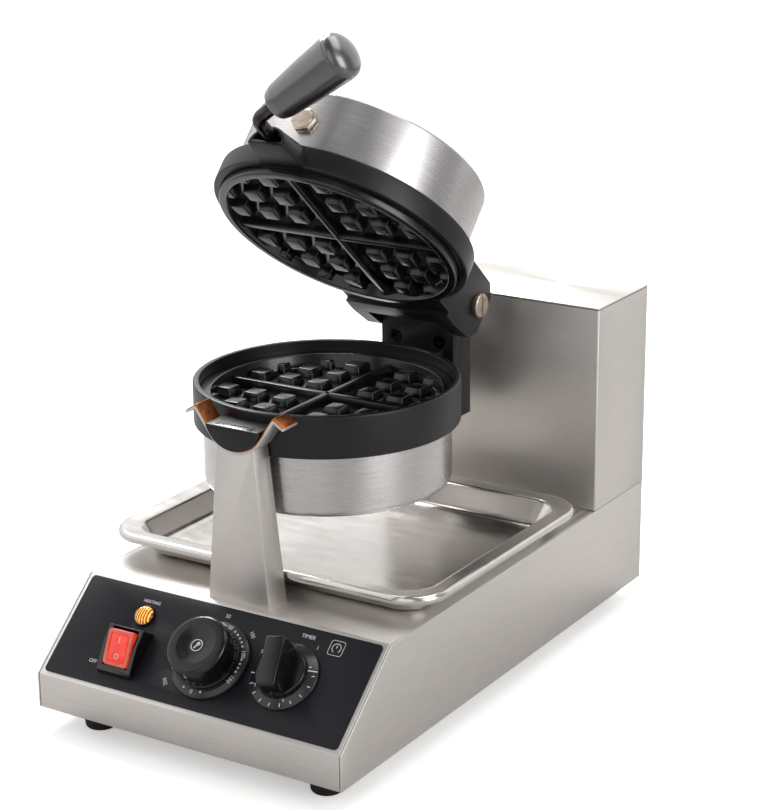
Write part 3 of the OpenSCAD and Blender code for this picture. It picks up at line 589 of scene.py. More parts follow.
def copies_tree():
    tree, given = new_tree("Copies on points", [("Points", "Geometry"), ("Shape", "Object"),
                                                ("Finish", "Material")])
    shape = add(tree, "GeometryNodeObjectInfo", {"transform_space": "ORIGINAL"},
                {"Object": given["Shape"]})
    turn = add(tree, "GeometryNodeInputNamedAttribute", {"data_type": "FLOAT_VECTOR"},
               {"Name": "turn"})
    turned = next(s for s in turn.outputs if s.enabled and s.name == "Attribute")
    placed = add(tree, "GeometryNodeInstanceOnPoints", None,
                 {"Points": given["Points"], "Instance": shape.outputs["Geometry"],
                  "Rotation": turned})
    return end_tree(tree, placed.outputs["Instances"], given["Finish"])


def tube_tree():
    tree, given = new_tree("Swept tube", [("Path", "Geometry"), ("Bend radius", "Float"),
                                          ("Tube radius", "Float"), ("Sides", "Int"),
                                          ("Finish", "Material")])
    bend = add(tree, "GeometryNodeFilletCurve", {"mode": "POLY"},
               {"Curve": given["Path"], "Radius": given["Bend radius"], "Count": 14,
                "Limit Radius": True})
    ring = add(tree, "GeometryNodeCurvePrimitiveCircle", {"mode": "RADIUS"},
               {"Resolution": given["Sides"], "Radius": given["Tube radius"]})
    tube = add(tree, "GeometryNodeCurveToMesh", None,
               {"Curve": bend.outputs["Curve"], "Profile Curve": ring.outputs["Curve"],
                "Fill Caps": True})
    return end_tree(tree, tube.outputs["Mesh"], given["Finish"])


COPIES = copies_tree()
SWEPT_TUBE = tube_tree()


def grown(source, tree, values):
    """Runs a geometry tree on an object and returns the result as a bmesh."""
    bpy.context.scene.collection.objects.link(source)
    modifier = source.modifiers.new("grow", "NODES")
    modifier.node_group = tree
    for item in tree.interface.items_tree:
        if item.in_out == "INPUT" and item.name in values:
            modifier[item.identifier] = values[item.name]
    evaluated = source.evaluated_get(bpy.context.evaluated_depsgraph_get())
    mesh = bpy.data.meshes.new_from_object(evaluated)
    source.modifiers.clear()
    bm = bmesh.new()
    bm.from_mesh(mesh)
    bpy.data.meshes.remove(mesh)
    bpy.data.objects.remove(source)
    return bm


def copies(shape, places, material):
    """The shape at each place, given as (x, y, z, turn in degrees about z)."""
    part = bpy.data.meshes.new("shape")
    shape.to_mesh(part)
    shape.free()
    pattern_piece = bpy.data.objects.new("shape", part)
    bpy.context.scene.collection.objects.link(pattern_piece)
    cloud = bpy.data.meshes.new("points")
    cloud.from_pydata([p[:3] for p in places], [], [])
    turns = cloud.attributes.new("turn", "FLOAT_VECTOR", "POINT")
    for i, place in enumerate(places):
        turns.data[i].vector = (0, 0, math.radians(place[3]))
    result = grown(bpy.data.objects.new("points", cloud), COPIES,
                   {"Shape": pattern_piece, "Finish": material})
    bpy.data.objects.remove(pattern_piece)
    return result


def tube(path, radius, bend, material, sides=32):
    """A round bar along a path of points, with its corners bent to a radius."""
    curve = bpy.data.curves.new("path", "CURVE")
    curve.dimensions = "3D"
    spline = curve.splines.new("POLY")
    spline.points.add(len(path) - 1)
    for point, spot in zip(spline.points, path):
        point.co = (*spot, 1.0)
    result = grown(bpy.data.objects.new("path", curve), SWEPT_TUBE,
                   {"Bend radius": bend, "Tube radius": radius, "Sides": sides,
                    "Finish": material})
    return cleaned(result)


print("trees:", COPIES.name, "and", SWEPT_TUBE.name)

# %% [markdown]
# ## The folded sheet body
# The base is a wrapper folded over two side cheeks, and the tower is a folded shell with a
# separate top sheet. Folded steel keeps an outside radius close to its own thickness, so the
# CAD sheets get nearly that radius and cut edges get less. The wrapper is then made a hair
# narrower than its cheeks, so that the narrow seams where sheets meet stay open and dark.

# %% Base, post and covers
for name, width in (("base_wrapper", 0.9), ("left_side_panel", 0.35), ("right_side_panel", 0.35),
                    ("bottom_cover", 0.3), ("tower_rear_cover", 0.35), ("front_post", 0.8)):
    softened(name, width, STAINLESS_SHEET)
SIDE_SEAM = 0.4
wrapper = bpy.data.objects["base_wrapper_finished"].data
half_width = max(vert.co.x for vert in wrapper.vertices)
wrapper.transform(Matrix.Scale(1 - SIDE_SEAM * MM / half_width, 4, (1, 0, 0)))
print("folded sheets done, with side seams of", SIDE_SEAM, "mm")

# %% [markdown]
# ## The tower
# Three walls are folded from one sheet, and a top sheet lies on them. The eye finds the joint
# as a thin dark line below the top, so the walls stop short of it, and an inner flange closes
# the gap from behind. Redrawing the walls was easier than opening a seam in the CAD's.

# %% Tower walls and top sheet
tower_low, tower_high = (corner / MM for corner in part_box("tower_shell"))
SHEET = 1.2
SEAM = 0.45
FLANGE = 6.0


def tower():
    """Three folded walls under a top sheet, with an open seam between them."""
    left, right, front, rear = tower_low.x, tower_high.x, tower_low.y, tower_high.y
    outline = [(left, rear), (left, front, 1.6), (right, front, 1.6), (right, rear),
               (right - SHEET, rear), (right - SHEET, front + SHEET, 0.5),
               (left + SHEET, front + SHEET, 0.5), (left + SHEET, rear)]
    top = tower_high.z - SHEET
    walls = prism(rounded(outline), top - SEAM - tower_low.z - SEAM, 0.15, tower_low.z + SEAM)
    lid_outline = rounded([(left, front), (right, front), (right, rear), (left, rear)], 1.0)
    inside = SHEET + SEAM
    flange = [(left + inside, front + inside), (right - inside, front + inside),
              (right - inside, rear), (left + inside, rear)]
    return [walls, prism(lid_outline, SHEET, 0.4, top),
            prism(flange, FLANGE, 0, top - FLANGE)]


piece("tower_folded", tower(), STAINLESS_SHEET, "machine_frame",
      ["tower_shell"])
print("tower", round(tower_high.x - tower_low.x), "x", round(tower_high.y - tower_low.y), "mm")

# %% [markdown]
# ## The saddle and its liner
# The front of the lower pan lies in a half-round saddle bent from strip. Its arms rise at a
# tangent and their ends are folded outwards. A thinner copper-coloured liner carries the
# pan's boss and folds out over the ears. One outline, followed out along the lower face and
# back along the upper one, makes both, and the folds get small bend radii.

# %% Saddle strip
SADDLE_R = 23.6
SADDLE_T = 1.6
LINER_R = 22.8
ARM_TILT = math.radians(55)
ARM_LEN = 21.0
EAR_LEN = 10.0
EAR_TILT = math.radians(32)
saddle_low, saddle_high = (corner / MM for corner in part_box("saddle"))
pan_z = pan_centre.z / MM


def strip(radius, thick, arm):
    """Half-outline of a bent strip, from under its middle out and back over its top."""
    bend = min(1.4, thick)
    out = Vector((math.sin(ARM_TILT), -math.cos(ARM_TILT)))
    up = Vector((math.cos(ARM_TILT), math.sin(ARM_TILT)))
    ear_way = Vector((math.cos(EAR_TILT), -math.sin(EAR_TILT)))
    ear_under = Vector((-math.sin(EAR_TILT), -math.cos(EAR_TILT)))
    tip = out * radius + up * arm
    bottom = arc((0, 0), radius + thick, -90, math.degrees(ARM_TILT) - 90, 20)
    top = arc((0, 0), radius, math.degrees(ARM_TILT) - 90, -90, 20)
    under = tip + ear_under * thick
    ends = rounded([bottom[-1], (*(under + ear_way * thick), bend),
                    (*(under + ear_way * EAR_LEN), 0.2), (*(tip + ear_way * EAR_LEN), 0.2),
                    (*tip, bend), top[0]])[1:-1]
    return [Vector(p) for p in bottom] + ends + [Vector(p) for p in top]


def cradle(radius, thick, arm, inset):
    right = strip(radius, thick, arm)
    whole = right + [Vector((-p.x, p.y)) for p in right[-2:0:-1]]
    depth = saddle_high.y - saddle_low.y - 2 * inset
    stand = (Matrix.Translation((0, saddle_high.y - inset, pan_z))
             @ rotation(90, "X"))
    return moved(prism(whole, depth, 0.25), stand)


piece("saddle_strip", [cradle(SADDLE_R, SADDLE_T, ARM_LEN, 0)], STAINLESS_SHEET,
      "machine_frame", ["saddle"])
LINER_T = SADDLE_R - LINER_R
LINER_INSET = 0.3
piece("saddle_liner_strip", [cradle(LINER_R, LINER_T, ARM_LEN + LINER_T, LINER_INSET)],
      COPPER_STRIP, "machine_frame", ["saddle_liner"])
print("saddle strip", SADDLE_T, "mm thick")

# %% [markdown]
# ## The rings
# Both rings are castings turned on their faces, so their sections are drawn once with rounded
# corners and spun. The lower one carries a half-round boss that lies in the saddle, flat on
# top and lower than the rim. A strip of bright turned steel lies along the front of that flat.

# %% Lower ring and its boss
RING_R = 94.0
BOSS_R = 22.5
BOSS_DROP = 6.0
BOSS_FRONT = -115.0
LAND_HALF = 15.5
LAND_PROUD = 0.05


def half_round(radius, flat_at, corner):
    """A disc cut off flat at a height, seen from the front."""
    start = math.degrees(math.asin(flat_at / radius))
    ring = arc((0, 0), radius, 180 - start, 360 + start, 36)
    return rounded([(*ring[0], corner)] + ring[1:-1] + [(*ring[-1], corner)])


def facing_front(bm, front):
    """Stands an outline drawn in x and z on end, running back from a front plane."""
    return moved(bm, Matrix.Translation((0, front, 0)) @ rotation(90, "X")
                 @ Matrix.Scale(-1, 4, (0, 0, 1)))


lower_section = rounded([(RING_R, -30, 1.2), (RING_R, 0, 1.6), (89.5, 0, 0.8), (89.5, -20, 0.4),
                         (87.5, -20, 0.4), (87.5, -30, 0.6)])
boss = cleaned(facing_front(prism(half_round(BOSS_R, -BOSS_DROP, 3.0), 24.0, 1.0), BOSS_FRONT))
tail = block((-22, 85, -30), (22, 118, -20.0), 1.0)
piece("lower_ring_cast", [lathe(lower_section), boss, tail], CAST_COAT, "lower_pan",
      ["lower_ring"], PAN)
# A strip of bright turned steel, 0.05 mm proud, along the front of the boss's flat.
land = block((-LAND_HALF, BOSS_FRONT + 1.0, -BOSS_DROP - 0.3),
             (LAND_HALF, BOSS_FRONT + 7.0, LAND_PROUD - BOSS_DROP), 0.04)
piece("boss_machined_land", [land], TURNED_STEEL, "lower_pan", place=PAN)
print("lower ring", 2 * RING_R, "mm across")

# %% [markdown]
# ## The lid's ring and its lug
# The upper ring is lower than the other one, and its rim is stepped to hold the can. In front
# it carries a hollow half-round lug that widens towards the ring and takes the handle rod. The
# lug's front is filled between two outlines, and each outline is then carried back: the outer
# one to the root, and the mouth to the floor of the hollow.

# %% Upper ring and its lug
LUG_FRONT_R = 14.2
LUG_SPREAD = 6.8 / 40
LUG_WALL = 2.8
LUG_FRONT = -117.0
LUG_LENGTH = 34.0
LUG_DEEP = 14.0
ROD_UP = 7.8


def lug_shell(radius):
    around = [(radius * math.cos(a), radius * math.sin(a))
              for a in (math.radians(170 - 10 * i) for i in range(17))]
    return rounded([(-radius, 0, 1.2)] + around + [(radius, 0, 1.2)])


def lug_mouth(radius):
    around = [(radius * math.cos(a), 1.0 + radius * math.sin(a))
              for a in (math.radians(12 + 156 * i / 24) for i in range(25))]
    return rounded([(around[0][0], 3.0, 1.2)] + around[1:-1] + [(around[-1][0], 3.0, 1.2)])


def lug():
    """A hollow half-round lug: an outer shell, a back wall and the floor of its hollow."""
    bm = bmesh.new()
    front, mouth = ([bm.verts.new((p[0], LUG_FRONT, p[1])) for p in line]
                    for line in (lug_shell(LUG_FRONT_R), lug_mouth(LUG_FRONT_R - LUG_WALL)))
    edges = [bm.edges.new((ring[i], ring[(i + 1) % len(ring)]))
             for ring in (front, mouth) for i in range(len(ring))]
    bmesh.ops.triangle_fill(bm, edges=edges, use_beauty=True)
    root = lug_shell(LUG_FRONT_R + LUG_SPREAD * LUG_LENGTH)
    deep = lug_mouth(LUG_FRONT_R - LUG_WALL + LUG_SPREAD * LUG_DEEP)
    for ring, line, depth in ((front, root, LUG_LENGTH), (mouth, deep, LUG_DEEP)):
        back = [bm.verts.new((p[0], LUG_FRONT + depth, p[1])) for p in line]
        for i in range(len(ring)):
            j = (i + 1) % len(ring)
            bm.faces.new((ring[i], ring[j], back[j], back[i]))
        bm.faces.new(back)
    bmesh.ops.dissolve_limit(bm, angle_limit=math.radians(0.5), verts=bm.verts, edges=bm.edges)
    return soft_edges(cleaned(bm), 0.7, 50.0)


upper_section = rounded([(RING_R, 0, 1.4), (RING_R, 16.5, 2.0), (85.5, 16.5, 0.5),
                         (85.5, 9, 0.3), (88.3, 9, 0.3), (88.3, 0, 0.8)])
piece("upper_ring_cast", [lathe(upper_section), lug()], CAST_COAT, "upper_pan",
      ["upper_ring"], LID)
print("lug hollow", LUG_DEEP, "mm deep")

# %% [markdown]
# ## The waffle plates
# A tooth is a square frustum with rounded edges, and the plate repeats it on a square grid,
# six whole teeth to a quarter. Two ribs cross in the middle and divide the waffle. The teeth
# that the wall cuts short are drawn once, clipped, and turned through four quarters. All of
# them are copied by the geometry tree, for the lower plate and then for the lid's.

# %% Teeth and ribs
PITCH = 24.5
FIRST = 21.5
TOOTH_ROOT = 15.5
TOOTH_TIP = 11.5
TOOTH_H = 6.5
RIB_ROOT, RIB_TIP = 7.0, 4.5
MOULD_R = 81.5
INTO_WALL = 2.2
SINK = 0.4


def frustum(root, tip, height, edge):
    """A block with a smaller top, sunk a little into the plate it stands on."""
    bm = loft([[(x, y, -SINK) for x, y in root], [(x, y, height) for x, y in tip]])
    return soft_edges(cleaned(bm), edge, 20.0, 3)


def clipped(outline, centre, limit):
    """Cuts an outline off beyond a distance from the origin, square to its centre's ray."""
    ray = Vector(centre).normalized()
    kept = []
    for i, point in enumerate(outline):
        here, after = Vector(point), Vector(outline[(i + 1) % len(outline)])
        inside, next_inside = here.dot(ray) < limit, after.dot(ray) < limit
        if inside:
            kept.append(tuple(here))
        if inside != next_inside:
            kept.append(tuple(here.lerp(after, (limit - here.dot(ray)) / (after - here).dot(ray))))
    return kept


def waffle_pattern():
    steps = [FIRST + PITCH * i for i in range(3)]
    grid = [(sx * steps[i], sy * steps[j], 0, 0) for i in range(3) for j in range(3 - i)
            for sx in (-1, 1) for sy in (-1, 1)]
    tooth = frustum(rectangle(TOOTH_ROOT, TOOTH_ROOT), rectangle(TOOTH_TIP, TOOTH_TIP), TOOTH_H,
                    0.45)
    shapes = [copies(tooth, grid, PLATE_COAT)]
    quarters = [(0, 0, 0, 90 * k) for k in range(4)]
    for centre in ((steps[1], steps[2]), (steps[2], steps[1])):
        root, tip = (clipped(rectangle(size, size, centre), centre, MOULD_R + INTO_WALL)
                     for size in (TOOTH_ROOT, TOOTH_TIP))
        shapes.append(copies(frustum(root, tip, TOOTH_H, 0.6), quarters, PLATE_COAT))
    length = 2 * (MOULD_R + 2.0)
    rib = frustum(rectangle(length, RIB_ROOT), rectangle(length, RIB_TIP), TOOTH_H, 0.7)
    shapes.append(copies(rib, [(0, 0, 0, 0), (0, 0, 0, 90)], PLATE_COAT))
    return shapes


def waffle_plate(section, floor, down):
    turn = rotation(180 if down else 0, "X")
    stand = Matrix.Translation((0, 0, floor)) @ turn
    return [lathe(section)] + [moved(shape, stand) for shape in waffle_pattern()]


lower_plate_section = rounded([(0, -28), (86.2, -28, 0.5), (86.2, -20, 0.3), (89.2, -20, 0.3),
                               (89.2, -8, 1.0), (MOULD_R, -8, 1.2), (79.5, -19, 3.0), (0, -19)])
piece("lower_waffle_plate", waffle_plate(lower_plate_section, -19, False), PLATE_COAT,
      "lower_pan", ["lower_plate"], PAN)
upper_plate_section = rounded([(0, 12), (0, 3), (79.5, 3, 3.0), (82.2, -6, 1.5), (88, -6, 1.6),
                               (88, 9, 0.5), (84.2, 9, 0.3), (84.2, 12, 0.5)])
piece("upper_waffle_plate", waffle_plate(upper_plate_section, 3, True), PLATE_COAT,
      "upper_pan", ["upper_plate"], LID)
print("whole teeth on a plate:", 4 * 6, "of", TOOTH_H, "mm")

# %% [markdown]
# ## The cans
# Each heater hides in a can of 1 mm stainless, spun over a form, so its rim turns over in a
# soft radius. The section is closed round its thickness, and the UV map that `lathe` wrote
# turns the brushed streaks round the can.

# %% Spun cans
lower_can_section = rounded([(0, -74), (87.5, -74, 5.0), (87.5, -20, 0.3), (86.5, -20, 0.3),
                             (86.5, -73, 4.0), (0, -73)], 0, 8)
piece("lower_can_spun", [lathe(lower_can_section, 240)], SPUN_CAN, "lower_pan",
      ["lower_can"], PAN)
upper_can_section = rounded([(85.5, 9, 0.3), (85.5, 62, 2.5), (0, 62), (0, 61), (84.5, 61, 1.5),
                             (84.5, 9, 0.3)], 0, 8)
piece("upper_can_spun", [lathe(upper_can_section, 240)], SPUN_CAN, "upper_pan",
      ["upper_can"], LID)
print("cans spun")

# %% [markdown]
# ## Hinge block and bracket
# Two castings hold the lid: a block bolted to the shaft flange, and a bracket whose cheeks
# straddle it. Castings never have sharp corners, so the CAD shapes get a radius of about a
# millimetre and a half, which draws the thin highlights along their outlines.

# %% Castings
softened("hinge_block", 1.3, CAST_COAT, 3)
softened("lid_bracket", 1.5, CAST_COAT, 3)
print("castings rounded")

# %% [markdown]
# ## Handle
# A black steel rod leaves the lug, bends once and carries a tapered phenolic grip with a
# polished domed end. The rod is a swept tube whose path is filleted by the geometry tree. The
# grip is turned: its end dome meets the barrel at a crisp rim.

# %% Rod and grip
ROD_R = 4.6
ROD_BEND = -135.0
GRIP_WAY = Vector((0.81, -0.36, 0.47)).normalized()
GRIP_START = 17.5
GRIP_LEN = 60.0
GRIP_R = 16.5
DOME_H = 9.0
bend_at = Vector((0, ROD_BEND, ROD_UP))
rod_path = [(0, LUG_FRONT + LUG_DEEP + 18, ROD_UP), tuple(bend_at),
            tuple(bend_at + GRIP_WAY * (GRIP_START + 24))]
piece("handle_rod_bent", [tube(rod_path, ROD_R, 8.0, OXIDE_ROD)], OXIDE_ROD, "upper_pan",
      ["handle_rod"], LID)
dome = [(GRIP_R * math.cos(a) * 0.985, GRIP_LEN + DOME_H * math.sin(a))
        for a in (math.radians(90 * i / 16) for i in range(17))]
grip_section = rounded([(0, 0), (8.2, 0, 1.0), (10.9, 1.2, 2.2), (12.6, 7.0, 6.0),
                        (14.8, GRIP_LEN * 0.52, 20.0), (GRIP_R, GRIP_LEN - 1.0, 0.6),
                        (GRIP_R * 0.985, GRIP_LEN, 0.2)]) + dome[1:-1] + [(0, GRIP_LEN + DOME_H)]
grip_stand = (Matrix.Translation(bend_at + GRIP_WAY * GRIP_START)
              @ GRIP_WAY.to_track_quat("Z", "Y").to_matrix().to_4x4())
piece("grip_turned", [moved(lathe(grip_section, 96), grip_stand)], PHENOLIC_GRIP, "upper_pan",
      ["handle_grip"], LID)
print("grip", round(GRIP_LEN + DOME_H), "mm long")

# %% [markdown]
# ## Drip tray
# The tray is one pressing: a flat rim with its outer edge rolled under, sloping walls and a
# flat floor. Its section is drawn as a line, the same line offset by the sheet's thickness
# makes the underside, and both run round a rectangle whose corners get tighter further in.

# %% Drip tray
tray_low, tray_high = (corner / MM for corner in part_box("drip_tray"))
TRAY_SHEET = 1.0
TRAY_CORNER = 28.0
TRAY_RIM = 13.5


def tray_loop(inset, height, steps=14):
    corner = TRAY_CORNER - 0.5 * inset
    half_x = (tray_high.x - tray_low.x) / 2 - inset - corner
    half_y = (tray_high.y - tray_low.y) / 2 - inset - corner
    middle = (tray_low + tray_high) / 2
    loop = []
    for k, (sx, sy) in enumerate(((1, 1), (-1, 1), (-1, -1), (1, -1))):
        centre = (middle.x + sx * half_x, middle.y + sy * half_y)
        loop += [(x, y, height) for x, y in arc(centre, corner, 90 * k, 90 * (k + 1), steps)]
    return loop


def tray():
    top, floor = tray_high.z, tray_low.z + TRAY_SHEET
    line = [(3.8, top - 5.8), (2.2, top - 6.6), (0.9, top - 6.0), (0.15, top - 4.6),
            (0.0, top - 3.0), (0.35, top - 1.5), (1.3, top - 0.4), (2.8, top),
            (4.2, top - 0.15), (5.6, top - 0.45), (TRAY_RIM - 2.0, top - 0.5),
            (TRAY_RIM - 0.7, top - 0.8), (TRAY_RIM + 0.3, top - 1.6), (TRAY_RIM + 1.0, top - 3.0),
            (TRAY_RIM + 6.0, floor + 4.6), (TRAY_RIM + 7.2, floor + 2.2),
            (TRAY_RIM + 9.0, floor + 0.7), (TRAY_RIM + 11.5, floor + 0.1),
            (TRAY_RIM + 14.0, floor)]
    under = []
    for i, point in enumerate(line):
        before, after = Vector(line[max(i - 1, 0)]), Vector(line[min(i + 1, len(line) - 1)])
        way = (after - before).normalized()
        under.append(Vector(point) + Vector((way.y, -way.x)) * TRAY_SHEET)
    loops = [tray_loop(*p) for p in under[::-1]] + [tray_loop(*p) for p in line]
    return cleaned(loft(loops))


piece("drip_tray_pressed", [tray()], POLISHED_TRAY, "tray", ["drip_tray"])
print("tray", round(tray_high.x - tray_low.x), "x", round(tray_high.y - tray_low.y), "mm")

# %% [markdown]
# ## Printing on the panel and dials
# Marks are thin white solids, 0.06 mm proud, as thick screen ink is. Figures are made from
# the built-in font and turned into a mesh before they are placed. Ticks and dots are repeated
# by the geometry tree.

# %% Ink helpers
INK = 0.06


def figure(words, size, place):
    """A word or number in ink, centred on its place."""
    curve = bpy.data.curves.new("words", "FONT")
    curve.body = words
    curve.size = size
    curve.align_x, curve.align_y = "CENTER", "CENTER"
    curve.extrude = INK
    curve.resolution_u = 4
    source = bpy.data.objects.new("words", curve)
    bpy.context.scene.collection.objects.link(source)
    mesh = bpy.data.meshes.new_from_object(
        source.evaluated_get(bpy.context.evaluated_depsgraph_get()))
    bpy.data.objects.remove(source)
    bm = bmesh.new()
    bm.from_mesh(mesh)
    bpy.data.meshes.remove(mesh)
    bmesh.ops.remove_doubles(bm, verts=bm.verts, dist=1e-5)
    return moved(bm, place)


def ring_mark(radius, width, place, start=0.0, end=360.0, steps=48):
    """A thin ring or part of one, in ink."""
    closed = end - start >= 360
    count = steps if closed else steps + 1
    inner = radius - width
    bm = bmesh.new()
    rings = [[bm.verts.new((*p, z)) for p in arc((0, 0), r, start, end, steps)[:count]]
             for r, z in ((radius, -INK), (radius, INK), (inner, INK), (inner, -INK))]
    for i in range(count if closed else count - 1):
        j = (i + 1) % count
        for a, b in zip(rings, rings[1:] + rings[:1]):
            bm.faces.new((a[i], a[j], b[j], b[i]))
    if not closed:
        bm.faces.new([r[0] for r in rings])
        bm.faces.new([r[-1] for r in rings][::-1])
    bmesh.ops.recalc_face_normals(bm, faces=bm.faces)
    return moved(bm, place)


def bar_mark(width, length, place=WORLD):
    return moved(prism(rectangle(width, length), 2 * INK, 0, -INK), place)


def hollow(outer, inner, low, high):
    """A flat frame between two outlines."""
    loops = [[(p[0], p[1], z) for p in line] for line, z in
             ((outer, low), (outer, high), (inner, high), (inner, low), (outer, low))]
    return cleaned(loft(loops, False))


def on_dial(radius, angle, height=0.0):
    angle = math.radians(angle)
    return radius * math.cos(angle), radius * math.sin(angle), height


def in_millimetres(place):
    """A place in metres as one for shapes that are still in millimetres."""
    scaled = place.copy()
    scaled.translation = place.translation / MM
    return scaled


print("ink", INK, "mm proud")

# %% [markdown]
# ## Control fascia
# The overlay stops short of the sheet's folds, so a bright steel border stays round it. Its
# words say what each control does, and a clock in a rounded square marks the timer.

# %% Fascia and its printing
softened("control_fascia", 0.15, OVERLAY)


def printed(place, turn=0.0):
    return in_millimetres(on_panel(place, FASCIA_T, turn))


def clock_icon(place):
    border = moved(hollow(rounded(rectangle(11.0, 11.0), 2.2),
                          rounded(rectangle(10.3, 10.3), 1.9), -INK, INK), place)
    hand = place @ Matrix.Translation((0, 1.0, 0))
    return [border, ring_mark(3.5, 0.5, place, -50, 250), bar_mark(0.5, 2.2, hand)]


fascia_marks = [figure("HEATING", 3.4, printed((-63.3, 70.3))),
                figure("OFF", 3.8, printed((-86.0, 18.4))),
                figure("TIMER", 4.0, printed((64.8, 73.3)))]
for value, spot, turn in (("50", (-0.8, 73.6), 0), ("100", (23.5, 65.0), -45),
                          ("300", (-31.6, 40.3), 80), ("250", (-23.8, 17.6), 125)):
    fascia_marks.append(figure(value, 3.9, printed(spot, turn)))
for value, angle in (("5", 152), ("1", 62)):
    across, up_slope, _ = on_dial(28.5, angle)
    fascia_marks.append(figure(value, 3.7, printed((TIMER_AT[0] + across,
                                                    TIMER_AT[1] + up_slope))))
fascia_marks += clock_icon(printed((88.2, 70.2)))
piece("fascia_printing", fascia_marks, WHITE_INK, "machine_frame")
print("marks on the fascia:", len(fascia_marks))

# %% [markdown]
# ## Dials and knobs
# The temperature control is a wide dial disc under a drum-shaped cap with a dished top. The
# timer is a skirted disc with a raised collar and a flat bar to turn it by. Discs, cap and
# collar are turned shapes, so their sections are spun.

# %% Temperature control
DIAL_LIFT = FASCIA_T + 0.3
MARK_H = 2 * INK
temperature = in_millimetres(on_panel(TEMPERATURE_AT, DIAL_LIFT))
TEMPERATURE_DIAL_H = 4.5
CAP_DISH = 18.7


def spun_at(section, place):
    return moved(lathe(section, 128), place)


temperature_disc = rounded([(0, 0), (29, 0, 0.3), (28.6, 2.6, 0.8),
                            (25.2, TEMPERATURE_DIAL_H, 0.8), (0, TEMPERATURE_DIAL_H)])
piece("temperature_dial_disc", [spun_at(temperature_disc, temperature)], DIAL_SKIN,
      "temperature_control", ["temperature_dial"])
cap = in_millimetres(on_panel(TEMPERATURE_AT, DIAL_LIFT + TEMPERATURE_DIAL_H))
cap_section = rounded([(0, 0), (23.0, 0, 0.4), (22.8, 1.6, 0.6), (22.2, 2.4, 0.6),
                       (22.0, 20.4, 3.6), (14.5, 20.5, 4.0), (6.5, CAP_DISH, 4.0),
                       (0, CAP_DISH)], 0, 9)
piece("temperature_cap", [spun_at(cap_section, cap)], MOULDED_KNOB, "temperature_control",
      ["temperature_knob"])


def around(place, radius, angle, height, tilt=0.0):
    """A spot on a dial: out along an angle, with its top pointing away from the centre."""
    return (place @ rotation(angle)
            @ Matrix.Translation((radius, 0, height))
            @ rotation(tilt, "Y")
            @ rotation(-90))


temperature_marks = []
for value, angle in (("0", -92), ("50", 78), ("100", 20), ("150", -24), ("200", 140),
                     ("250", 205)):
    temperature_marks.append(figure(value, 4.0, around(temperature, 25.4, angle, 4.42, 10)))
dots = [(*on_dial(25.0, a, TEMPERATURE_DIAL_H), 0)
        for a in (-10, -3, 4, 11, 34, 42, 50, 58, 66, -108, -76)]
dot = prism(arc((0, 0), 0.75, 0, 337.5, 15), MARK_H)
cap_top = cap @ Matrix.Translation((0, 0, CAP_DISH + 0.04))
temperature_marks += [moved(copies(dot, dots, WHITE_INK), temperature),
                      ring_mark(4.4, 0.55, cap_top),
                      ring_mark(1.3, 0.9, cap_top @ Matrix.Translation((0.9, 1.3, 0))),
                      bar_mark(0.9, 3.6, cap_top @ Matrix.Translation((-0.4, -0.9, 0))
                               @ rotation(-25)),
                      bar_mark(0.9, 3.4, around(cap, 22.1, -90, 14.6, 88))]
piece("temperature_marks", temperature_marks, WHITE_INK, "temperature_control")
print("temperature marks:", len(temperature_marks))

# %% [markdown]
# ## The timer
# Its disc is coned, so that its ticks face the user. The bar is a block with a slightly smaller
# top and well rounded edges, and its white pointer lies on the cone.

# %% Timer control
timer = in_millimetres(on_panel(TIMER_AT, DIAL_LIFT))
TIMER_DIAL_H = 5.0
timer_disc = rounded([(0, 0), (24.5, 0, 0.3), (24.4, 1.6, 0.8), (18.6, TIMER_DIAL_H, 0.6),
                      (0, TIMER_DIAL_H)])
piece("timer_dial_disc", [spun_at(timer_disc, timer)], DIAL_SKIN, "timer_control",
      ["timer_dial"])
collar = in_millimetres(on_panel(TIMER_AT, DIAL_LIFT + TIMER_DIAL_H))
BAR_TURN = 14.0
BAR_TOP = 20.4
collar_section = rounded([(0, 0), (18.6, 0, 0.3), (17.8, 4.0, 1.4), (0, 4.2)])
bar = loft([[(*p, 2.0) for p in rectangle(14.2, 36.0)],
            [(*p, BAR_TOP) for p in rectangle(13.4, 35.2)]])
bar = moved(soft_edges(cleaned(bar), 1.3, 30, 4), rotation(BAR_TURN))
piece("timer_grip", [spun_at(collar_section, collar), moved(bar, collar)], MOULDED_KNOB,
      "timer_control", ["timer_knob"])
ticks = [(*on_dial(21.3, a, 3.45), a - 90) for a in range(-170, 30, 20)]
timer_marks = [moved(copies(prism(rectangle(0.7, 4.6), MARK_H), ticks, WHITE_INK), timer),
               bar_mark(0.7, 7.0, around(timer, 21.0, 20, 3.62, 30))]
for value, angle in (("0", 20), ("5", -70), ("10", -150)):
    timer_marks.append(figure(value, 2.8, around(timer, 19.7, angle + 8, 4.45, 28)))
piece("timer_marks", timer_marks, WHITE_INK, "timer_control")
print("timer ticks:", len(ticks))

# %% [markdown]
# ## Rocker switch and lamp
# The rocker is a tilted red slab round a recessed window, marked with a bar and a ring; its
# rim is painted a paler red, a painted highlight along its bevel. Its housing is a glossy
# wedge. The amber lamp is a low dome whose ribs scatter the light, which a wave added to the
# dome's height gives.

# %% Rocker, housing and lamp
softened("switch_housing", 1.0, SWITCH_PLASTIC, 3)
ROCKER_H = 8.2
ROCKER_LIFT = 1.4
ROCKER_TILT = 25.0
ROCKER_X, ROCKER_V = 20.6, 24.8
WINDOW_TOP = 2.6
rocker = (in_millimetres(on_panel(SWITCH_AT, ROCKER_H))
          @ rotation(ROCKER_TILT, "X")
          @ Matrix.Translation((0, 0, ROCKER_LIFT)))


def rocker_outline(inset, corner):
    return rounded(rectangle(ROCKER_X - inset, ROCKER_V - inset), corner)


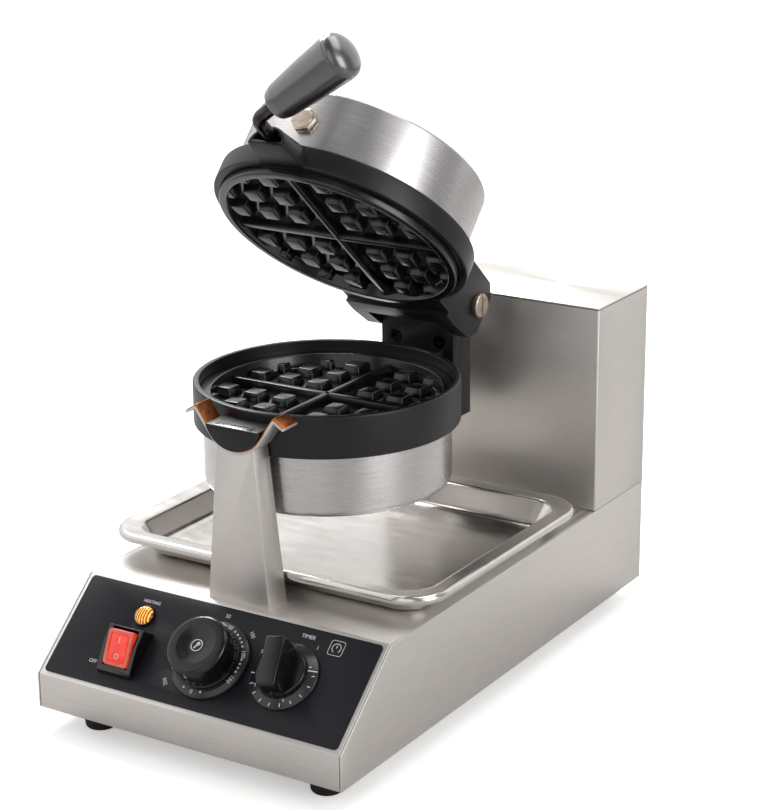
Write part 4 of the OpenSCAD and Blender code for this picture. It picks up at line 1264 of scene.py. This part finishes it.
slab = prism(rocker_outline(0, 3.2), 5.0, 0.4, -3.0)
rim = soft_edges(hollow(rocker_outline(0, 3.2), rocker_outline(5.2, 1.6), 1.6, 3.0), 0.45, 60.0, 3)
window = prism(rocker_outline(6.2, 1.3), WINDOW_TOP - 1.7, 0.35, 1.7)
piece("rocker_lens", [moved(s, rocker) for s in (slab, window)], RED_LENS,
      "power_rocker", ["rocker"])
# The rocker's rim carries the paler red, a painted highlight along its bevel.
piece("rocker_rim", [moved(rim, rocker)], RED_RIM_PAINTED_HIGHLIGHT, "power_rocker")
on_window = rocker @ Matrix.Translation((0, 0, WINDOW_TOP + INK))
piece("rocker_marks", [bar_mark(0.7, 4.2, on_window @ Matrix.Translation((0, 5.6, 0))),
                       ring_mark(1.9, 0.6, on_window @ Matrix.Translation((0, -5.6, 0)))],
      WHITE_INK, "power_rocker")

lamp = in_millimetres(on_panel(LAMP_AT, 0))
LENS_R = 6.9
DOME_FOOT, DOME_RISE = 2.4, 3.6
RIB_H = 0.22
dome_line = [(LENS_R * math.cos(a), DOME_FOOT + DOME_RISE * math.sin(a))
             for a in (math.radians(90 * i / 30) for i in range(31))]
lens = lathe([(0, -5.8), (4.7, -5.8), (4.7, 1.6), (LENS_R, 2.2)] + dome_line[1:-1]
             + [(0, DOME_FOOT + DOME_RISE)], 96)
for vert in lens.verts:
    away = Vector(vert.co[:2]).length / LENS_R
    if vert.co.z > 2.6:
        vert.co.z += RIB_H * (1 - away ** 4) * math.cos(2 * math.pi * vert.co.x / RIB_PITCH)
piece("lamp_lens_ribbed", [moved(lens, lamp)], AMBER_LENS, "machine_frame",
      ["lamp_lens"])
softened("lamp_bezel", 0.2, MOULDED_KNOB)
print("rocker tilted", ROCKER_TILT, "degrees")

# %% [markdown]
# ## Fasteners and feet
# Bolts keep the CAD shape, with the small chamfers that every real head has. The hex bolt on
# the lid's can faces the viewer, so it gets a turned washer face and a rounded hexagon.

# %% Fasteners, feet and gland
HARDWARE = ((WORN_NICKEL, 0.5, ("hinge_bolts", "cover_screws", "lower_can_screws")),
            (WORN_NICKEL, 0.4, ("arm_bolts", "bottom_screws")),
            (WORN_NICKEL, 0.3, ("bracket_screws", "bearing_studs", "foot_screws")),
            (BLACK_SCREW, 0.2, ("block_screws",)))
for material, width, names in HARDWARE:
    for name in names:
        softened(name, width, material)
softened("rubber_feet", 0.6, FOOT_RUBBER)
softened("cable_gland", 0.4, MOULDED_KNOB)
softened("flip_shaft", 0.3, TURNED_STEEL)

HEX_R = 9.2
HEX_H = 5.5
CAN_R = 85.5
can_bolt = Matrix.Translation((0, -CAN_R, 37)) @ rotation(90, "X")
hexagon = [on_dial(HEX_R, 60 * i + 12)[:2] for i in range(6)]
head = prism(hexagon, HEX_H - 0.4, 0.55, 0.0)
face = lathe(rounded([(0, HEX_H - 0.9), (7.3, HEX_H - 0.9), (7.0, HEX_H, 0.4), (0, HEX_H)]), 48)
shank = lathe([(0, -20), (5, -20), (5, 0.4), (0, 0.4)], 32)
piece("upper_can_bolt_head", [moved(s, can_bolt) for s in (head, face, shank)], WORN_NICKEL,
      "upper_pan", ["upper_can_bolt"], LID)
print("fasteners done")

# %% [markdown]
# ## Parts that stay as the CAD made them
# What sits inside the housings, or behind a cover, keeps its CAD mesh and gets its own
# finish, because a cover can come off and a lid can be looked into.

# %% Inner parts
INNER = {
    SINTERED_BRONZE: ["bearing_bush"],
    TURNED_STEEL: ["thermostat_shaft", "timer_shaft"],
    WORN_NICKEL: ["saddle_rivets", "shaft_washer", "shaft_nut", "handle_nut"],
    PLATED_HOUSING: ["thermostat_body", "timer_body", "bearing_housing"],
    HEATER_SHEATH: ["lower_heater", "upper_heater"],
    MINERAL_WOOL: ["lower_insulation", "upper_insulation"],
    TERMINAL_NYLON: ["terminal_block"],
    MOULDED_KNOB: ["gland_nut"],
}
for material, names in INNER.items():
    for name in names:
        mesh = frame["nodes"][name].data
        mesh.materials.clear()
        mesh.materials.append(material)
print("inner parts finished:", sum(len(names) for names in INNER.values()))

# %% [markdown]
# ## Floor and room
# A white floor and a white room are the studio. Steel shows what is round it, so the room has
# a few darker strips that run from floor to ceiling, as a studio's black cards do. Its ceiling
# is dim, so glossy black stays black. The camera sees floor and room as plain white, but to
# every other ray the floor is a light grey, as if cloth lay just out of view.

# %% Studio
FLOOR_HALF = 4.0
floor_mesh = bpy.data.meshes.new("floor")
floor_mesh.from_pydata([(*p, 0) for p in rectangle(2 * FLOOR_HALF, 2 * FLOOR_HALF)], [],
                       [(0, 1, 2, 3)])
floor = bpy.data.objects.new("floor", floor_mesh)
bpy.context.scene.collection.objects.link(floor)
floor_look = finish("studio_floor", "F6F5F4", 0.0, 0.6)
floor_tree = floor_look.node_tree
floor_shader = floor_tree.nodes["Principled BSDF"]
path = add(floor_tree, "ShaderNodeLightPath")
seen_or_felt = add(floor_tree, "ShaderNodeMix", {"data_type": "RGBA"},
                   {0: path.outputs["Is Camera Ray"], 6: linear("BDBBBA"),
                    7: linear("FAFAF9")})
floor_tree.links.new(seen_or_felt.outputs[2], floor_shader.inputs["Base Color"])
floor_shader.inputs["Emission Color"].default_value = linear("FFFFFF")
lift = add(floor_tree, "ShaderNodeMath", {"operation": "MULTIPLY"},
           {0: path.outputs["Is Camera Ray"], 1: 0.4})
floor_tree.links.new(lift.outputs[0], floor_shader.inputs["Emission Strength"])
floor_mesh.materials.append(floor_look)

world = bpy.data.worlds.new("studio_room")
bpy.context.scene.world = world
world.use_nodes = True
room = world.node_tree
background = room.nodes["Background"]
seen = add(room, "ShaderNodeTexCoord")
split = add(room, "ShaderNodeSeparateXYZ", None, {"Vector": seen.outputs["Generated"]})
heading = add(room, "ShaderNodeMath", {"operation": "ARCTAN2"},
              {0: split.outputs["X"], 1: split.outputs["Y"]})
turned = add(room, "ShaderNodeMapRange", None,
             {"Value": heading.outputs[0], "From Min": -math.pi, "From Max": math.pi})
cards = add(room, "ShaderNodeValToRGB", None, {"Fac": turned.outputs["Result"]})
# Each card edge is a share of the way round the room and the grey that starts there.
CARDS = ((0.0, 1.0), (0.03, 1.0), (0.04, 0.12), (0.06, 0.12), (0.075, 1.0), (0.30, 1.0),
         (0.34, 0.75), (0.38, 0.75), (0.42, 1.0), (0.60, 1.0), (0.645, 0.3), (0.70, 0.35),
         (0.73, 1.0), (0.80, 1.0), (0.85, 0.2), (0.885, 0.2), (0.92, 1.0))
ramp = cards.color_ramp
while len(ramp.elements) < len(CARDS):
    ramp.elements.new(0.5)
for element, (position, grey) in zip(ramp.elements, CARDS):
    element.position = position
    element.color = (grey, grey, grey, 1.0)
ceiling = add(room, "ShaderNodeMapRange", {"interpolation_type": "SMOOTHSTEP"},
              {"Value": split.outputs["Z"], "From Min": 0.72, "From Max": 0.9, "To Min": 1.0,
               "To Max": 0.3})
shaded = add(room, "ShaderNodeVectorMath", {"operation": "SCALE"},
             {0: cards.outputs["Color"], "Scale": ceiling.outputs["Result"]})
look = add(room, "ShaderNodeLightPath")
backdrop = add(room, "ShaderNodeMix", {"data_type": "VECTOR"},
               {0: look.outputs["Is Camera Ray"], 4: shaded.outputs["Vector"],
                5: (1.0, 1.0, 1.0)})
room.links.new(backdrop.outputs[1], background.inputs["Color"])
background.inputs["Strength"].default_value = 1.0
print("room with", len(CARDS), "card edges")

# %% [markdown]
# ## Lamps
# Three large soft lamps are squares of light, so their edges on the steel are gentle. The
# strongest stands behind on the left, where no can mirrors it into the camera.


# %% Lamps
def soft_lamp(name, place, aim, size, power):
    data = bpy.data.lights.new(name, "AREA")
    data.shape = "RECTANGLE"
    data.size, data.size_y = size
    data.energy = power
    lamp_object = bpy.data.objects.new(name, data)
    lamp_object.location = place
    lamp_object.rotation_euler = (Vector(aim) - Vector(place)).to_track_quat("-Z", "Y").to_euler()
    bpy.context.scene.collection.objects.link(lamp_object)


soft_lamp("key_softbox", (-1.1, 0.75, 1.5), (0, 0, 0.2), (0.8, 0.8), 30)
soft_lamp("top_softbox", (0.3, 0.6, 2.0), (0, 0, 0.2), (1.6, 0.8), 10)
soft_lamp("right_softbox", (1.8, -0.3, 0.9), (0, 0, 0.2), (0.9, 1.4), 12)
print("three soft lamps")

# %% [markdown]
# ## Camera
# The camera stands where the whole machine is seen from its front right and a little above,
# far enough away for a long lens, which keeps upright edges nearly upright.

# %% Camera
AZIMUTH, ELEVATION, ROLL = (math.radians(a) for a in (32.29, 17.76, -0.51))
CAMERA_AT = (0.85504, -1.32356, 0.69791)
right = Vector((math.cos(AZIMUTH), math.sin(AZIMUTH), 0))
back = Vector((math.sin(AZIMUTH) * math.cos(ELEVATION),
               -math.cos(AZIMUTH) * math.cos(ELEVATION), math.sin(ELEVATION)))
up = back.cross(right)
rolled_right = right * math.cos(ROLL) + up * math.sin(ROLL)
rolled_up = up * math.cos(ROLL) - right * math.sin(ROLL)
camera_data = bpy.data.cameras.new("product_camera")
camera_data.lens = 102.2
camera_data.sensor_width = 36.0
camera_data.clip_end = 20.0
camera = bpy.data.objects.new("product_camera", camera_data)
turn = Matrix((rolled_right, rolled_up, back)).transposed().to_4x4()
camera.matrix_world = Matrix.Translation(CAMERA_AT) @ turn
bpy.context.scene.collection.objects.link(camera)
bpy.context.scene.camera = camera
bpy.context.scene.view_settings.view_transform = "Standard"
print("camera", round(Vector(CAMERA_AT).length, 2), "m away")
